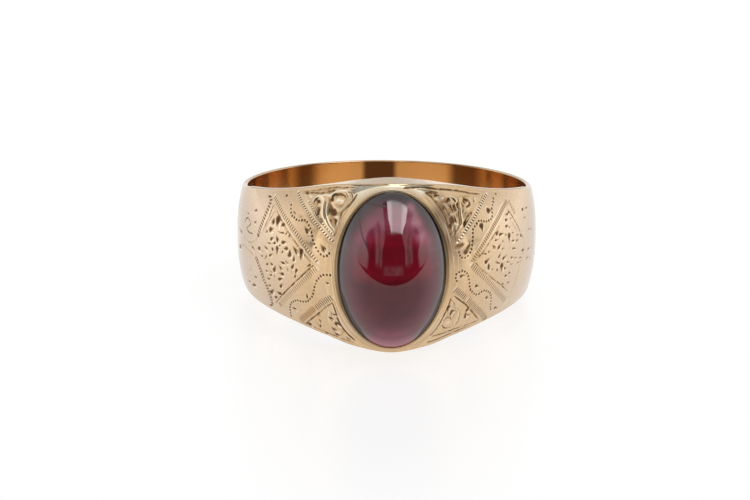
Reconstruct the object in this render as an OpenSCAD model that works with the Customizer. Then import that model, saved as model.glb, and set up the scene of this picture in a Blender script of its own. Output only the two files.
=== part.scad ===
// Oval cabochon ring: a wide tapering gold band whose thickened head holds one domed stone in a closed seat.
// The ring lies on its side on a flat surface, with its stone towards -Y. All sizes are in millimetres.

/* [Finger hole] */
// Inside diameter of the hoop
bore_d = 18.5; // [17:0.1:21]

/* [Band] */
// Width of the band at the stone
front_w = 11.1; // [10.9:0.1:13]
// Width of the band at the back of the finger
back_w = 5.7; // [3:0.1:8]
// Thickness of the hoop at the middle of its width, at the sides and back
hoop_wall = 0.68; // [0.5:0.02:1.2]
// Thickness of the hoop at its rounded edges
hoop_edge = 0.32; // [0.2:0.02:0.4]
// Thickness of the head at the middle of its width
head_wall = 2.6; // [2.4:0.1:3.2]
// Thickness of the head at its edges
head_edge = 2.2; // [1.8:0.1:2.4]
// How square the hoop's outer curve is, 2 being a plain parabola
hoop_crown = 2.4; // [1.8:0.1:4]
// How square the head's outer curve is
head_crown = 4; // [2:0.1:6]
// Size of the small bevel along the outer edges
edge_bevel = 0.1; // [0.05:0.01:0.15]

/* [Stone] */
// Width of the stone at its girdle, round the finger
stone_w = 7.16; // [6:0.02:7.4]
// Length of the stone at its girdle, along the finger
stone_l = 10.56; // [9:0.02:10.6]
// Height of the dome above the girdle
dome_h = 3.45; // [2:0.05:5]
// Depth of the stone below the girdle
base_h = 1.6; // [1:0.05:1.8]
// How much narrower the flat underside is than the girdle, each side
base_taper = 0.2; // [0:0.05:0.6]
// How the dome leaves the girdle: 1 is a straight slope, 2 is upright
dome_spring = 1.3; // [1:0.05:2]
// How round the dome is towards its top: 2 is a parabola
dome_round = 2.2; // [1.8:0.05:3]

/* [Setting] */
// Clearance between the stone and its seat
seat_gap = 0.05; // [0.02:0.01:0.1]
// Height of the lip's top above the girdle
lip_h = 0.45; // [0.3:0.05:0.6]
// Distance from the finger's axis to the top of the lip
lip_depth = 11.87; // [11.8:0.01:12.2]

/* [Hidden] */

bore_r = bore_d / 2;
hoop_r = bore_r + hoop_wall;
head_r = bore_r + head_wall;
girdle_depth = lip_depth - lip_h;
floor_depth = girdle_depth - base_h - seat_gap;

// Sections round the band: degrees from the stone, how far its width has grown from the back's to the stone's,
// and how far its edge has thickened from the hoop's to the head's
ANGLE = 0;
WIDTH_SHARE = 1;
EDGE_SHARE = 2;
SECTIONS = [
    [0, 1, 1],
    [12, 0.93, 0.64],
    [25, 0.778, 0.17],
    [40, 0.581, 0.03],
    [55, 0.426, 0],
    [70, 0.296, 0],
    [90, 0.1, 0],
    [130, 0.03, 0],
    [180, 0, 0],
];

// Levels of the collar round the stone: share of its height from the bore to the lip's top, and how far it
// stands out from the lip's opening round the finger and along it
LEVEL = 0;
OUT_ROUND = 1;
OUT_ALONG = 2;
COLLAR = [
    [0.3, 1.75, 0.3],
    [0.52, 1.25, 0.33],
    [0.76, 0.8, 0.33],
    [0.93, 0.42, 0.28],
    [1, 0.2, 0.14],
];

band_steps = 96;
profile_steps = 14;
oval_steps = 64;
dome_steps = 10;

// Slope of column c over the table's span i
function span_slope(i, c) =
    (SECTIONS[i + 1][c] - SECTIONS[i][c]) / (SECTIONS[i + 1][ANGLE] - SECTIONS[i][ANGLE]);

// Slope of column c at row i, level at both ends, that never overshoots a row
function row_slope(i, c) =
    i == 0 || i == len(SECTIONS) - 1 ? 0 :
    let (before = span_slope(i - 1, c), after = span_slope(i, c))
    before * after <= 0 ? 0 : 2 * before * after / (before + after);

// Row whose span holds the angle a
function row_before(a, i = 0) =
    i + 2 >= len(SECTIONS) || a < SECTIONS[i + 1][ANGLE] ? i : row_before(a, i + 1);

// Column c at a degrees from the stone, on a smooth curve through the rows
function section_value(a, c) =
    let (
        i = row_before(a),
        span = SECTIONS[i + 1][ANGLE] - SECTIONS[i][ANGLE],
        t = (a - SECTIONS[i][ANGLE]) / span
    )
    (2 * t ^ 3 - 3 * t ^ 2 + 1) * SECTIONS[i][c] + (t ^ 3 - 2 * t ^ 2 + t) * span * row_slope(i, c)
        + (3 * t ^ 2 - 2 * t ^ 3) * SECTIONS[i + 1][c] + (t ^ 3 - t ^ 2) * span * row_slope(i + 1, c);

function half_width(a) = (back_w + (front_w - back_w) * section_value(a, WIDTH_SHARE)) / 2;
function edge_r(a) = bore_r + hoop_edge + (head_edge - hoop_edge) * section_value(a, EDGE_SHARE);

// Outer radius at the middle of the width: half an ellipse in front and a circle behind
function middle_r(a) =
    a > 90 ? hoop_r : hoop_r * head_r / sqrt((head_r * sin(a)) ^ 2 + (hoop_r * cos(a)) ^ 2);

// Outer radius at a degrees from the stone, w being 0 at mid-width and 1 at the edge
function outer_r(a, w) =
    let (crown = hoop_crown + (head_crown - hoop_crown) * section_value(a, EDGE_SHARE))
    edge_r(a) + (middle_r(a) - edge_r(a)) * (1 - abs(w) ^ crown);

// Section of the band as [radius, height] points, from the top inner corner round the outside to the bottom one.
// Its inner corners lie inside the bore, which is cut afterwards.
function section_points(a) =
    let (h = half_width(a), w_end = 1 - edge_bevel / h, r_flat = edge_r(a) - edge_bevel, r_in = bore_r - 1)
    concat(
        [[r_in, h], [r_flat, h]],
        [for (k = [0:profile_steps]) let (w = w_end * (1 - 2 * k / profile_steps)) [outer_r(a, w), h * w]],
        [[r_flat, -h], [r_in, -h]]
    );

// Semi-axes of the stone, shrunk or grown by out
function stone_oval(out) = [stone_w / 2 + out, stone_l / 2 + out];

// Share of the girdle's size that the dome has at a share u of its height
function dome_share(u) = (1 - u ^ dome_spring) ^ (1 / dome_round);

// Opening at the lip's top: the stone's own size there and the clearance
lip_oval = stone_oval(0) * dome_share(lip_h / dome_h) + [seat_gap, seat_gap];

// The ring leans back until the front's inner edge and the back's outer edge touch the surface
lean = atan((front_w - back_w) / 2 / (2 * bore_r + hoop_edge - edge_bevel));

// Place of a point [y, z] of the upright ring once it leans
function leaned(p) = [p[0] * cos(lean) + p[1] * sin(lean), p[1] * cos(lean) - p[0] * sin(lean)];

lowest = leaned([-bore_r, -front_w / 2])[1];
back_reach = max([for (p = section_points(180)) leaned(p)[0]]);
front_reach = min([for (k = [0:dome_steps]) let (u = k / dome_steps)
    leaned([-girdle_depth - dome_h * u, -stone_l / 2 * dome_share(u)])[0]]);

// Faces of a closed skin over equal loops of points, joined end to end or capped
function skin_faces(loops, count, closed) = concat(
    [for (i = [0:loops - (closed ? 1 : 2)], j = [0:count - 1]) each
        let (n = (i + 1) % loops, m = (j + 1) % count)
        [[i * count + j, n * count + j, n * count + m], [i * count + j, n * count + m, i * count + m]]],
    closed ? [] : [
        [for (j = [0:count - 1]) j],
        [for (j = [0:count - 1]) (loops - 1) * count + count - 1 - j],
    ]
);

// Solid through ovals [distance from the finger's axis, semi-axis round it, semi-axis along it], inmost first
module oval_loft(rows) {
    points = [for (row = rows, j = [0:oval_steps - 1]) let (t = 360 * j / oval_steps)
        [row[1] * cos(t), -row[0], row[2] * sin(t)]];
    polyhedron(points, skin_faces(len(rows), oval_steps, false), convexity = 4);
}

// The hoop and head before the finger hole and the seat are cut
module band_body() {
    count = len(section_points(0));
    points = [for (i = [0:band_steps - 1]) let (t = 360 * i / band_steps)
        for (p = section_points(min(t, 360 - t))) [p[0] * sin(t), -p[0] * cos(t), p[1]]];
    polyhedron(points, skin_faces(band_steps, count, true), convexity = 6);
}

// Raised collar that rises from the head to the lip
module collar() {
    oval_loft([for (row = COLLAR) [
        bore_r + (lip_depth - bore_r) * row[LEVEL],
        lip_oval[0] + row[OUT_ROUND],
        lip_oval[1] + row[OUT_ALONG],
    ]]);
}

// Room for the stone, closed below and narrowed by the lip above
module seat() {
    girdle = stone_oval(seat_gap);
    oval_loft([
        concat([floor_depth], girdle),
        concat([girdle_depth], girdle),
        concat([lip_depth], lip_oval),
        concat([lip_depth + 1], lip_oval),
    ]);
}

// Places the upright ring as it rests, with the middle of its footprint at the origin
module resting() {
    translate([0, -(front_reach + back_reach) / 2, -lowest]) rotate([-lean, 0, 0]) children();
}

module band() {
    color("#d9b778") resting() difference() {
        union() {
            band_body();
            collar();
        }
        cylinder(h = 2 * front_w, r = bore_r, center = true, $fn = 128);
        seat();
    }
}

module cabochon() {
    under = stone_oval(-base_taper);
    color("#5c0a16") resting() oval_loft(concat(
        [concat([girdle_depth - base_h], under)],
        [for (k = [0:dome_steps - 1]) let (u = sin(90 * k / dome_steps) * 0.995)
            concat([girdle_depth + dome_h * u], stone_oval(0) * dome_share(u))],
        [concat([girdle_depth + dome_h], stone_oval(0) * 0.04)]
    ));
}

band();
cabochon();
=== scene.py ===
import math

import bpy
import numpy as np
from mathutils import Matrix


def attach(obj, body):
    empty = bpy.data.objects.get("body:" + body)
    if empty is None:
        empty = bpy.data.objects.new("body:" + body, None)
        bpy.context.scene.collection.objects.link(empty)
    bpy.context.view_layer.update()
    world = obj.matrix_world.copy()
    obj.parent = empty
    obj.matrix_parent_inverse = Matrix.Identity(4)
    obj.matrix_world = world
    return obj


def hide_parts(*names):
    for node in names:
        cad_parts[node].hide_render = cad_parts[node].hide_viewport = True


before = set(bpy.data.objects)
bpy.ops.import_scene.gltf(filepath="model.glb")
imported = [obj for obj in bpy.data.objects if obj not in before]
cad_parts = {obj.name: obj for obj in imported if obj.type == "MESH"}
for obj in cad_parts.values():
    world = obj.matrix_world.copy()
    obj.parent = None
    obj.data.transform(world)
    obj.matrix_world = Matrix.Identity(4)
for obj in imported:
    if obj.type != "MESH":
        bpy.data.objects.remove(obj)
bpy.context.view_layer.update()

# Sizes of the ring in millimetres, from the same values as in the part's source, with radii and the stone's
# half sizes in place of diameters
BORE_R = 9.25
FRONT_W = 11.1
BACK_W = 5.7
HOOP_R = 9.93
HEAD_R = 11.85
HOOP_EDGE = 0.32
HEAD_EDGE = 2.2
HOOP_CROWN = 2.4
HEAD_CROWN = 4
EDGE_BEVEL = 0.1
STONE_ROUND = 3.58
STONE_ALONG = 5.28
DOME_H = 3.45
BASE_H = 1.6
BASE_TAPER = 0.2
DOME_SPRING = 1.3
DOME_ROUND = 2.2
SEAT_GAP = 0.05
LIP_H = 0.45
LIP_DEPTH = 11.87
GIRDLE_DEPTH = LIP_DEPTH - LIP_H
FLOOR_DEPTH = GIRDLE_DEPTH - BASE_H - SEAT_GAP
# Drawn here only: the rounding of the finger hole's ends, and the gap between the stone and the lip's top
INNER_ROUND = 0.06
LIP_GAP = 0.015
# How far the ring leans back as it rests, and the shift that then sets it on the floor
LEAN = math.radians(8.20722)
REST_SHIFT = (0, 2.37522, 4.17269)
MM_PER_M = 1000

# Sections round the band: degrees from the stone, how far the width and the edge have grown from the back's
ANGLE = 0
WIDTH_SHARE = 1
EDGE_SHARE = 2
SECTIONS = np.array([
    [0, 1, 1],
    [12, 0.93, 0.64],
    [25, 0.778, 0.17],
    [40, 0.581, 0.03],
    [55, 0.426, 0],
    [70, 0.296, 0],
    [90, 0.1, 0],
    [130, 0.03, 0],
    [180, 0, 0],
])


def section_value(angle, column):
    """Value of a column at an angle: cubics through the rows, whose slope at a row is the harmonic mean of
    the slopes on its two sides, and level at both ends."""
    rows = SECTIONS[:, ANGLE]
    value = SECTIONS[:, column]
    span = np.diff(rows)
    side = np.diff(value) / span
    total = side[:-1] + side[1:]
    slope = np.zeros(len(rows))
    slope[1:-1] = 2 * side[:-1] * side[1:] / np.where(total == 0, 1, total)
    i = np.clip(np.searchsorted(rows, angle, side="right") - 1, 0, len(span) - 1)
    t = (angle - rows[i]) / span[i]
    start = (2 * t**3 - 3 * t**2 + 1) * value[i] + (t**3 - 2 * t**2 + t) * span[i] * slope[i]
    return start + (3 * t**2 - 2 * t**3) * value[i + 1] + (t**3 - t**2) * span[i] * slope[i + 1]


def from_stone(turn):
    """Degrees from the stone, 0 to 180, of a turn round the finger in radians."""
    angle = np.abs(np.degrees(turn)) % 360
    return np.where(angle > 180, 360 - angle, angle)


def half_width(turn):
    """Half the band's width: the back's, grown towards the front's by the width share."""
    return (BACK_W + (FRONT_W - BACK_W) * section_value(from_stone(turn), WIDTH_SHARE)) / 2


def middle_r(turn):
    """Radius at mid-width: an ellipse of the head's and the hoop's radius in front, a circle behind."""
    angle = np.radians(np.minimum(from_stone(turn), 90))
    return HOOP_R * HEAD_R / np.sqrt((HEAD_R * np.sin(angle)) ** 2 + (HOOP_R * np.cos(angle)) ** 2)


def edge_r(turn):
    """Radius at the band's edges: the hoop's, thickened towards the head's by the edge share."""
    return BORE_R + HOOP_EDGE + (HEAD_EDGE - HOOP_EDGE) * section_value(from_stone(turn), EDGE_SHARE)


def outer_r(turn, along):
    """Radius at a height along the finger: it falls from the middle's to the edge's by the crown's power of
    the share of the half width."""
    crown = HOOP_CROWN + (HEAD_CROWN - HOOP_CROWN) * section_value(from_stone(turn), EDGE_SHARE)
    share = np.clip(np.abs(along) / half_width(turn), 0, 1)
    return edge_r(turn) + (middle_r(turn) - edge_r(turn)) * (1 - share**crown)


# Turns round the finger, as many steps on each side of the stone, and the length round the mid-plane
# outline from the stone's middle to each
TURN_STEPS = 3600
TURNS = np.radians(np.linspace(-180, 180, 2 * TURN_STEPS + 1))
OUTLINE = middle_r(TURNS) * np.array([np.sin(TURNS), -np.cos(TURNS)])
LENGTHS = np.concatenate([[0], np.cumsum(np.hypot(*np.diff(OUTLINE)))])
LENGTHS -= LENGTHS[TURN_STEPS]


def turn_at(length):
    """Turn round the finger at a length round the outline."""
    return np.interp(length, LENGTHS, TURNS)


def length_at(turn):
    """Length round the outline at a turn round the finger."""
    return np.interp(turn, TURNS, LENGTHS)


def dome_share(height_share):
    """Share of the girdle's size that the dome has at a share of its height."""
    return (1 - height_share**DOME_SPRING) ** (1 / DOME_ROUND)


LIP_ROUND = STONE_ROUND * dome_share(LIP_H / DOME_H) + LIP_GAP
LIP_ALONG = STONE_ALONG * dome_share(LIP_H / DOME_H) + LIP_GAP

# How the collar leaves the lip at its sides and at its ends: width of the flat lip, then of the slope
LIP_FLAT = (0.2, 0.13)
COLLAR_REACH = (1.5, 0.22)
# The lip's rounded inner corner: how far it drops and how wide it is
CORNER_DROP = 0.01
CORNER_WIDTH = 0.05


def collar_share(across, along):
    """Share of the collar's height, 1 on the lip and 0 at its foot, and the distance from the lip's oval on
    the line from the stone's middle. The slope falls as the power 1.5 of what is left of its reach. From
    the ends to the sides, the flat grows as the square of the share across and the reach as its power
    2.56."""
    size = np.maximum(np.hypot(across / LIP_ROUND, along / LIP_ALONG), 1e-6)
    out = np.hypot(across, along) * (1 - 1 / size)
    side = np.abs(across / LIP_ROUND) / size
    flat = LIP_FLAT[1] + (LIP_FLAT[0] - LIP_FLAT[1]) * side**2
    reach = COLLAR_REACH[1] + (COLLAR_REACH[0] - COLLAR_REACH[1]) * side**2.56
    return np.clip(1 - (out - flat) / reach, 0, 1) ** 1.5, out


def band_point(turn, along):
    """Point of the band's outer surface: on the outer radius, then lifted forward by the collar's share of
    what is missing to the lip's depth. The lip's inner corner is rounded down by a parabola."""
    radius = outer_r(turn, along)
    across = radius * np.sin(turn)
    depth = radius * np.cos(turn)
    share, out = collar_share(across, along)
    share = np.where(depth > 0, share, 0)
    rounding = CORNER_DROP * np.clip(1 - out / CORNER_WIDTH, 0, 1) ** 2 * (share > 0)
    depth = depth + (LIP_DEPTH - depth) * share - rounding
    return np.stack([across, -depth, along], -1)


def at_rest(points):
    """Leans the upright ring back, sets it on the floor and turns millimetres into metres."""
    across, front, along = np.moveaxis(np.asarray(points, float), -1, 0)
    leaned = np.stack([
        across,
        front * math.cos(LEAN) + along * math.sin(LEAN),
        along * math.cos(LEAN) - front * math.sin(LEAN),
    ], -1)
    return (leaned + REST_SHIFT) / MM_PER_M


# The engraving: every cut and every raised bead is a straight stroke on the band's developed surface, with
# its two ends and the width at each, its height (a cut's is below nothing) and how dark it is stained (a
# painted highlight is below nothing)
START, START_ALONG, END, END_ALONG, START_WIDTH, END_WIDTH, HEIGHT, STAIN_AND_HIGHLIGHT = range(8)
# Share of the charted heights that wear has left, and of a ridge's besides
RELIEF = 0.55
RIDGE_RELIEF = 0.6
# Steps that a curve's span is worked out in, and the length of the strokes that follow a line and a ridge
SPAN_STEPS = 16
LINE_STEP = 0.12
RIDGE_STEP = 0.1
# Width of a pick at its point
PICK_POINT = 0.05
# The burr beside a narrow cut: how far from the cut's middle and how wide, in halves of the cut's width,
# the widest cut that has one, and its height and the brightness of its painted highlight as shares of the
# cut's own depth and stain
BURR_PLACE = 1.3
BURR_WIDTH = 0.35
BURR_WIDEST = 0.45
BURR_HEIGHT = 0.25
BURR_HIGHLIGHT = 0.45


def through(points, step):
    """Points about a step apart on a curve through the given ones. Each span is the cubic whose slope at a
    point is half the way from the point before to the point after."""
    p = np.asarray(points, float)
    p = np.vstack([2 * p[0] - p[1], p, 2 * p[-1] - p[-2]])
    a, b, c, d = p[:-3], p[1:-2], p[2:-1], p[3:]
    t = np.linspace(0, 1, SPAN_STEPS, endpoint=False)[:, None, None]
    curve = b + (c - a) * t / 2 + (2 * a - 5 * b + 4 * c - d) * t**2 / 2 + (3 * b - a - 3 * c + d) * t**3 / 2
    curve = np.vstack([curve.transpose(1, 0, 2).reshape(-1, 2), p[-2:-1]])
    run = np.concatenate([[0], np.cumsum(np.hypot(*np.diff(curve, axis=0).T))])
    stops = np.linspace(0, run[-1], max(2, round(run[-1] / step) + 1))
    return np.column_stack([np.interp(stops, run, curve[:, 0]), np.interp(stops, run, curve[:, 1])])


def strokes(start, end, start_width, end_width, height, stain_and_highlight):
    """Rows of the stroke table from two arrays of points and values for all of them or for each."""
    rows = np.zeros((len(start), STAIN_AND_HIGHLIGHT + 1))
    rows[:, START:END] = start
    rows[:, END:START_WIDTH] = end
    for column, value in enumerate((start_width, end_width, height, stain_and_highlight), START_WIDTH):
        rows[:, column] = value
    return rows


def tapered(points, step, width, narrow):
    """Starts and ends of the strokes along a curve, the width at each, and the share of the full width at
    each start. The share falls to narrow at the curve's two ends, by the root of a sine."""
    p = through(points, step)
    share = narrow + (1 - narrow) * np.sin(np.linspace(0, np.pi, len(p))) ** 0.5
    return (p[:-1], p[1:], width * share[:-1], width * share[1:]), share[:-1]


def line(points, width=0.14, depth=0.035, stain_and_highlight=0.7, narrow=0.6):
    """A graver's line along a curve."""
    course, share = tapered(points, LINE_STEP, width, narrow)
    return strokes(*course, -depth * share, 0.75 * stain_and_highlight)


def ridge(points, width=0.3, height=0.06, narrow=0.5, bright=0.5):
    """A raised stem along a curve, with a painted highlight along its crest."""
    course, share = tapered(points, RIDGE_STEP, width, narrow)
    return strokes(*course, height * share, -bright)


def dots(points, pitch=0.25, size=0.2, depth=0.05, stain_and_highlight=1.4):
    """Round punch marks at a pitch along a curve."""
    p = through(points, pitch)
    return strokes(p, p, size, size, -depth, stain_and_highlight)


# Columns of the picks' tables: place round the finger and along it, the way the tail points in degrees from
# the right upwards, length, width at the head, and strength
ROUND, ALONG, HEADING, LENGTH, WIDTH, STRENGTH = range(6)


def picks(table, stain_and_highlight=1.0):
    """Wedge cuts that narrow to a point, deeper where they are wider, each with a painted highlight on its
    lower right side, a flat bright stroke in place of a lit facet. The head stands a quarter of the length
    behind the charted place."""
    t = np.asarray(table, float)
    width, strength = t[:, WIDTH], t[:, STRENGTH]
    heading = np.radians(t[:, HEADING])
    way = np.column_stack([np.cos(heading), np.sin(heading)])
    place = t[:, ROUND : ALONG + 1]
    head = place - way * t[:, LENGTH, None] * 0.25
    tail = place + way * t[:, LENGTH, None]
    depth = (0.02 + 0.3 * width) * strength
    cuts = strokes(head, tail, 1.5 * width, PICK_POINT, -depth, stain_and_highlight * (0.5 + 0.5 * strength))
    beside = width[:, None] * (0.62, -0.62)
    painted_glints = strokes(head + beside, (place + tail) / 2 + beside, 0.7 * width, PICK_POINT, 0, -0.75 * strength)
    return np.vstack([cuts, painted_glints])


# Picks inside the left lozenge
LEFT_FIELD = [
    [-9.28, 2.22, 90, 0.28, 0.3, 1],
    [-8.8, 2.3, -90, 0.45, 0.45, 1],
    [-8.22, 2.15, 200, 0.4, 0.25, 1],
    [-9.4, 1.65, 20, 0.3, 0.3, 1],
    [-8.2, 1.62, 180, 0.45, 0.15, 1],
    [-7.77, 1.65, 60, 0.25, 0.12, 1],
    [-7.4, 1.48, -35, 0.35, 0.12, 1],
    [-9.25, 1.07, 30, 0.3, 0.22, 1],
    [-8.62, 1.15, 125, 0.35, 0.25, 1],
    [-7.97, 1.05, 20, 0.3, 0.22, 1],
    [-8.92, 0.83, 200, 0.25, 0.18, 1],
    [-8.32, 0.78, 0, 0.15, 0.13, 1],
    [-9.45, 0.72, 180, 0.3, 0.15, 0.5],
    [-7.72, 0.68, 190, 0.3, 0.25, 1],
    [-6.77, 0.68, 140, 0.45, 0.25, 1],
    [-6.32, 0.6, -95, 0.6, 0.3, 1],
    [-8.6, 0.45, -90, 0.4, 0.25, 1],
    [-7.35, 0.42, 85, 0.35, 0.3, 1],
    [-9.07, 0.35, -50, 0.3, 0.2, 1],
    [-9.87, 0.32, 155, 0.35, 0.22, 1],
    [-8.07, 0.38, 230, 0.3, 0.13, 0.5],
    [-6.97, 0.12, 90, 0.25, 0.2, 1],
    [-10.8, 0.12, 190, 0.3, 0.25, 1],
    [-10.37, 0.05, 0, 0.2, 0.13, 0.5],
    [-9.35, -0.05, 30, 0.35, 0.16, 1],
    [-5.67, -0.1, 210, 0.25, 0.15, 1],
    [-9.87, -0.25, 230, 0.3, 0.15, 0.5],
    [-10.37, -0.3, 180, 0.25, 0.13, 0.5],
    [-7.62, -0.22, 150, 0.35, 0.15, 1],
    [-8.0, -0.33, 170, 0.4, 0.18, 1],
    [-7.07, -0.4, 60, 0.3, 0.2, 1],
    [-9.22, -0.62, 150, 0.3, 0.2, 1],
    [-6.77, -0.65, -110, 0.25, 0.2, 1],
    [-8.22, -0.72, 140, 0.35, 0.2, 1],
    [-9.75, -0.72, 200, 0.3, 0.18, 0.5],
    [-7.52, -0.72, 100, 0.25, 0.15, 0.5],
    [-8.9, -0.88, 60, 0.3, 0.28, 1],
    [-7.15, -0.85, 120, 0.25, 0.13, 0.5],
    [-6.87, -1.02, 60, 0.2, 0.14, 1],
    [-8.17, -1.08, 180, 0.35, 0.25, 1],
    [-9.85, -1.2, 0, 0.25, 0.13, 1],
    [-9.3, -1.15, 160, 0.3, 0.14, 1],
    [-9.37, -1.38, 200, 0.3, 0.16, 1],
    [-8.95, -1.38, 90, 0.15, 0.13, 0.5],
    [-8.4, -1.48, 20, 0.4, 0.2, 1],
    [-9.67, -1.7, 180, 0.25, 0.15, 1],
    [-8.35, -1.93, 45, 0.3, 0.2, 1],
    [-9.72, -2.18, 190, 0.3, 0.16, 1],
    [-9.55, -2.55, 35, 0.5, 0.25, 1],
    [-8.68, -2.53, 165, 0.45, 0.25, 1],
    [-9.22, -2.9, 15, 0.3, 0.2, 1],
    [-9.92, 1.4, 200, 0.3, 0.2, 0.5],
]

# Picks inside the right lozenge
RIGHT_FIELD = [
    [8.05, 1.67, 30, 0.28, 0.22, 1],
    [8.42, 1.52, 0, 0.4, 0.2, 1],
    [7.9, 1.22, 0, 0.35, 0.13, 1],
    [7.62, 0.8, 130, 0.25, 0.22, 1],
    [8.2, 0.75, 40, 0.3, 0.2, 1],
    [8.05, 0.63, 200, 0.25, 0.14, 0.5],
    [7.15, 0.6, 30, 0.2, 0.15, 0.5],
    [6.75, 0.5, 170, 0.3, 0.14, 1],
    [8.6, 0.55, 0, 0.25, 0.14, 0.5],
    [9.42, 1.15, -88, 0.4, 0.3, 1],
    [8.72, 0.98, -30, 0.5, 0.15, 0.5],
    [9.87, 0.82, 170, 0.3, 0.18, 1],
    [10.5, 0.75, 0, 0.3, 0.16, 0.5],
    [9.97, 0.3, -10, 0.4, 0.16, 1],
    [8.2, 0.12, 45, 0.3, 0.15, 1],
    [6.92, 0, 30, 0.4, 0.22, 1],
    [8.75, -0.08, 20, 0.4, 0.2, 1],
    [9.72, -0.25, -10, 0.3, 0.16, 1],
    [7.12, -0.4, 100, 0.3, 0.25, 1],
    [8.1, -0.35, 150, 0.4, 0.16, 1],
    [9.22, -0.47, -20, 0.35, 0.15, 1],
    [9.7, -0.7, 0, 0.3, 0.14, 0.5],
    [10.25, -0.37, 0, 0.3, 0.14, 0.5],
    [11.05, -0.52, -10, 0.4, 0.14, 1],
    [8.5, -0.68, -90, 0.4, 0.32, 1],
    [7.45, -0.65, 180, 0.2, 0.15, 0.5],
    [8.02, -0.82, -60, 0.25, 0.14, 1],
    [8.92, -0.85, -30, 0.3, 0.16, 1],
    [9.1, -1.37, -10, 0.3, 0.18, 1],
    [10.65, -0.78, 0, 0.3, 0.16, 0.5],
    [8.85, -1.9, -30, 0.3, 0.14, 1],
    [9.5, -1.9, 0, 0.25, 0.14, 0.5],
    [9.22, 1.9, 0, 0.3, 0.18, 1],
    [9.32, 2.3, 0, 0.25, 0.18, 1],
    [9.52, 2.62, 170, 0.25, 0.16, 1],
    [9.77, 2.7, 0, 0.2, 0.14, 0.5],
    [9.9, 2.3, 0, 0.2, 0.14, 0.5],
    [9.6, 1.77, 0, 0.25, 0.14, 0.5],
    [9.07, 1.38, 0, 0.25, 0.14, 0.5],
    [9.87, 1.35, 0, 0.25, 0.14, 0.5],
    [10.55, 1.08, 0, 0.3, 0.14, 0.5],
    [11.17, 0.9, -30, 0.4, 0.2, 1],
    [11.45, -0.1, 0, 0.4, 0.2, 1],
    [9.52, -1.25, 0, 0.25, 0.14, 0.5],
]

# Single leaves in the plain bands, and what lies beyond the lozenges
LEAVES = [
    [-4.64, 1.23, 135, 0.3, 0.3, 1],
    [-5.95, 2.14, 145, 0.4, 0.25, 1],
    [-7.27, 3.0, 150, 0.35, 0.15, 1],
    [-8.65, 3.9, 180, 0.1, 0.18, 1],
    [-4.32, -0.98, 160, 0.2, 0.16, 1],
    [-5.95, -2.23, 100, 0.25, 0.2, 1],
    [-7.45, -3.4, 160, 0.3, 0.22, 1],
    [5.18, 1.0, 60, 0.45, 0.35, 1],
    [6.56, 2.27, -80, 0.35, 0.3, 1],
    [7.62, 3.16, 0, 0.3, 0.3, 1],
    [4.82, -0.62, 0, 0.25, 0.2, 1],
    [6.12, -1.56, -20, 0.25, 0.22, 0.8],
    [7.3, -2.55, -20, 0.25, 0.22, 0.8],
    [8.82, -3.59, -20, 0.3, 0.22, 1],
    [9.0, 3.98, 0, 0.1, 0.18, 1],
    [-10.45, 3.57, 180, 0.3, 0.16, 1],
    [-10.35, -3.7, 190, 0.5, 0.16, 1],
    [-11.7, -0.08, 150, 0.6, 0.24, 1],
    [-11.8, 2.45, 190, 0.35, 0.18, 0.8],
    [-11.6, 1.7, 190, 0.3, 0.18, 0.8],
    [-13.0, 2.0, 180, 0.3, 0.16, 0.8],
    [-12.2, -2.65, 190, 0.6, 0.22, 1],
    [-13.1, -2.6, 180, 0.6, 0.16, 0.5],
    [-11.6, -1.97, 190, 0.4, 0.16, 0.6],
    [-14.8, -0.6, 195, 0.8, 0.28, 0.9],
    [-14.5, 0.5, 170, 0.7, 0.26, 0.8],
    [12.0, 2.5, 0, 0.35, 0.2, 0.7],
    [12.75, 2.45, 0, 0.5, 0.16, 0.4],
    [12.05, 1.95, 0, 0.4, 0.16, 0.4],
    [13.0, 1.0, 0, 0.8, 0.18, 0.5],
    [12.7, -0.25, 0, 0.8, 0.18, 0.5],
    [12.4, -0.8, 0, 0.6, 0.16, 0.4],
]

# Curves of punched dots
DOT_CURVES = [
    [(-7.87, 3.45), (-7.6, 2.9), (-7.25, 2.75), (-6.85, 2.62), (-6.42, 2.7), (-6.12, 2.68), (-5.73, 2.32),
     (-5.48, 1.8), (-5.32, 1.39), (-5.07, 1.02), (-4.75, 0.75), (-4.5, 0.73), (-4.25, 0.88), (-4.18, 1.0)],
    [(-4.1, -0.4), (-4.6, -0.5), (-4.85, -0.7), (-5.1, -1.05), (-5.3, -1.55), (-5.4, -1.9), (-5.5, -2.15),
     (-5.75, -2.4), (-6.0, -2.6), (-6.4, -2.7), (-6.95, -2.7), (-7.25, -2.8), (-7.6, -3.0), (-7.9, -3.35),
     (-8.1, -3.8), (-8.2, -4.05)],
    [(4.55, 1.0), (4.71, 0.64), (5.05, 0.53), (5.32, 0.64), (5.5, 0.91), (5.62, 1.36), (5.73, 1.85),
     (5.75, 2.15), (5.95, 2.38), (6.45, 2.67), (7.07, 2.54), (7.53, 2.59), (7.8, 2.73), (8.0, 3.23),
     (8.36, 3.6), (8.5, 3.77)],
    [(4.4, -0.85), (4.3, -0.6), (4.35, -0.4), (4.5, -0.3), (4.9, -0.3), (5.25, -0.6), (5.4, -1.05),
     (5.5, -1.55), (5.6, -1.75), (5.95, -2.05), (6.2, -2.15), (6.5, -2.1), (6.7, -2.0), (7.0, -2.0),
     (7.5, -2.25), (7.7, -2.5), (7.85, -2.8), (7.95, -3.2), (8.2, -3.55)],
]


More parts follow.
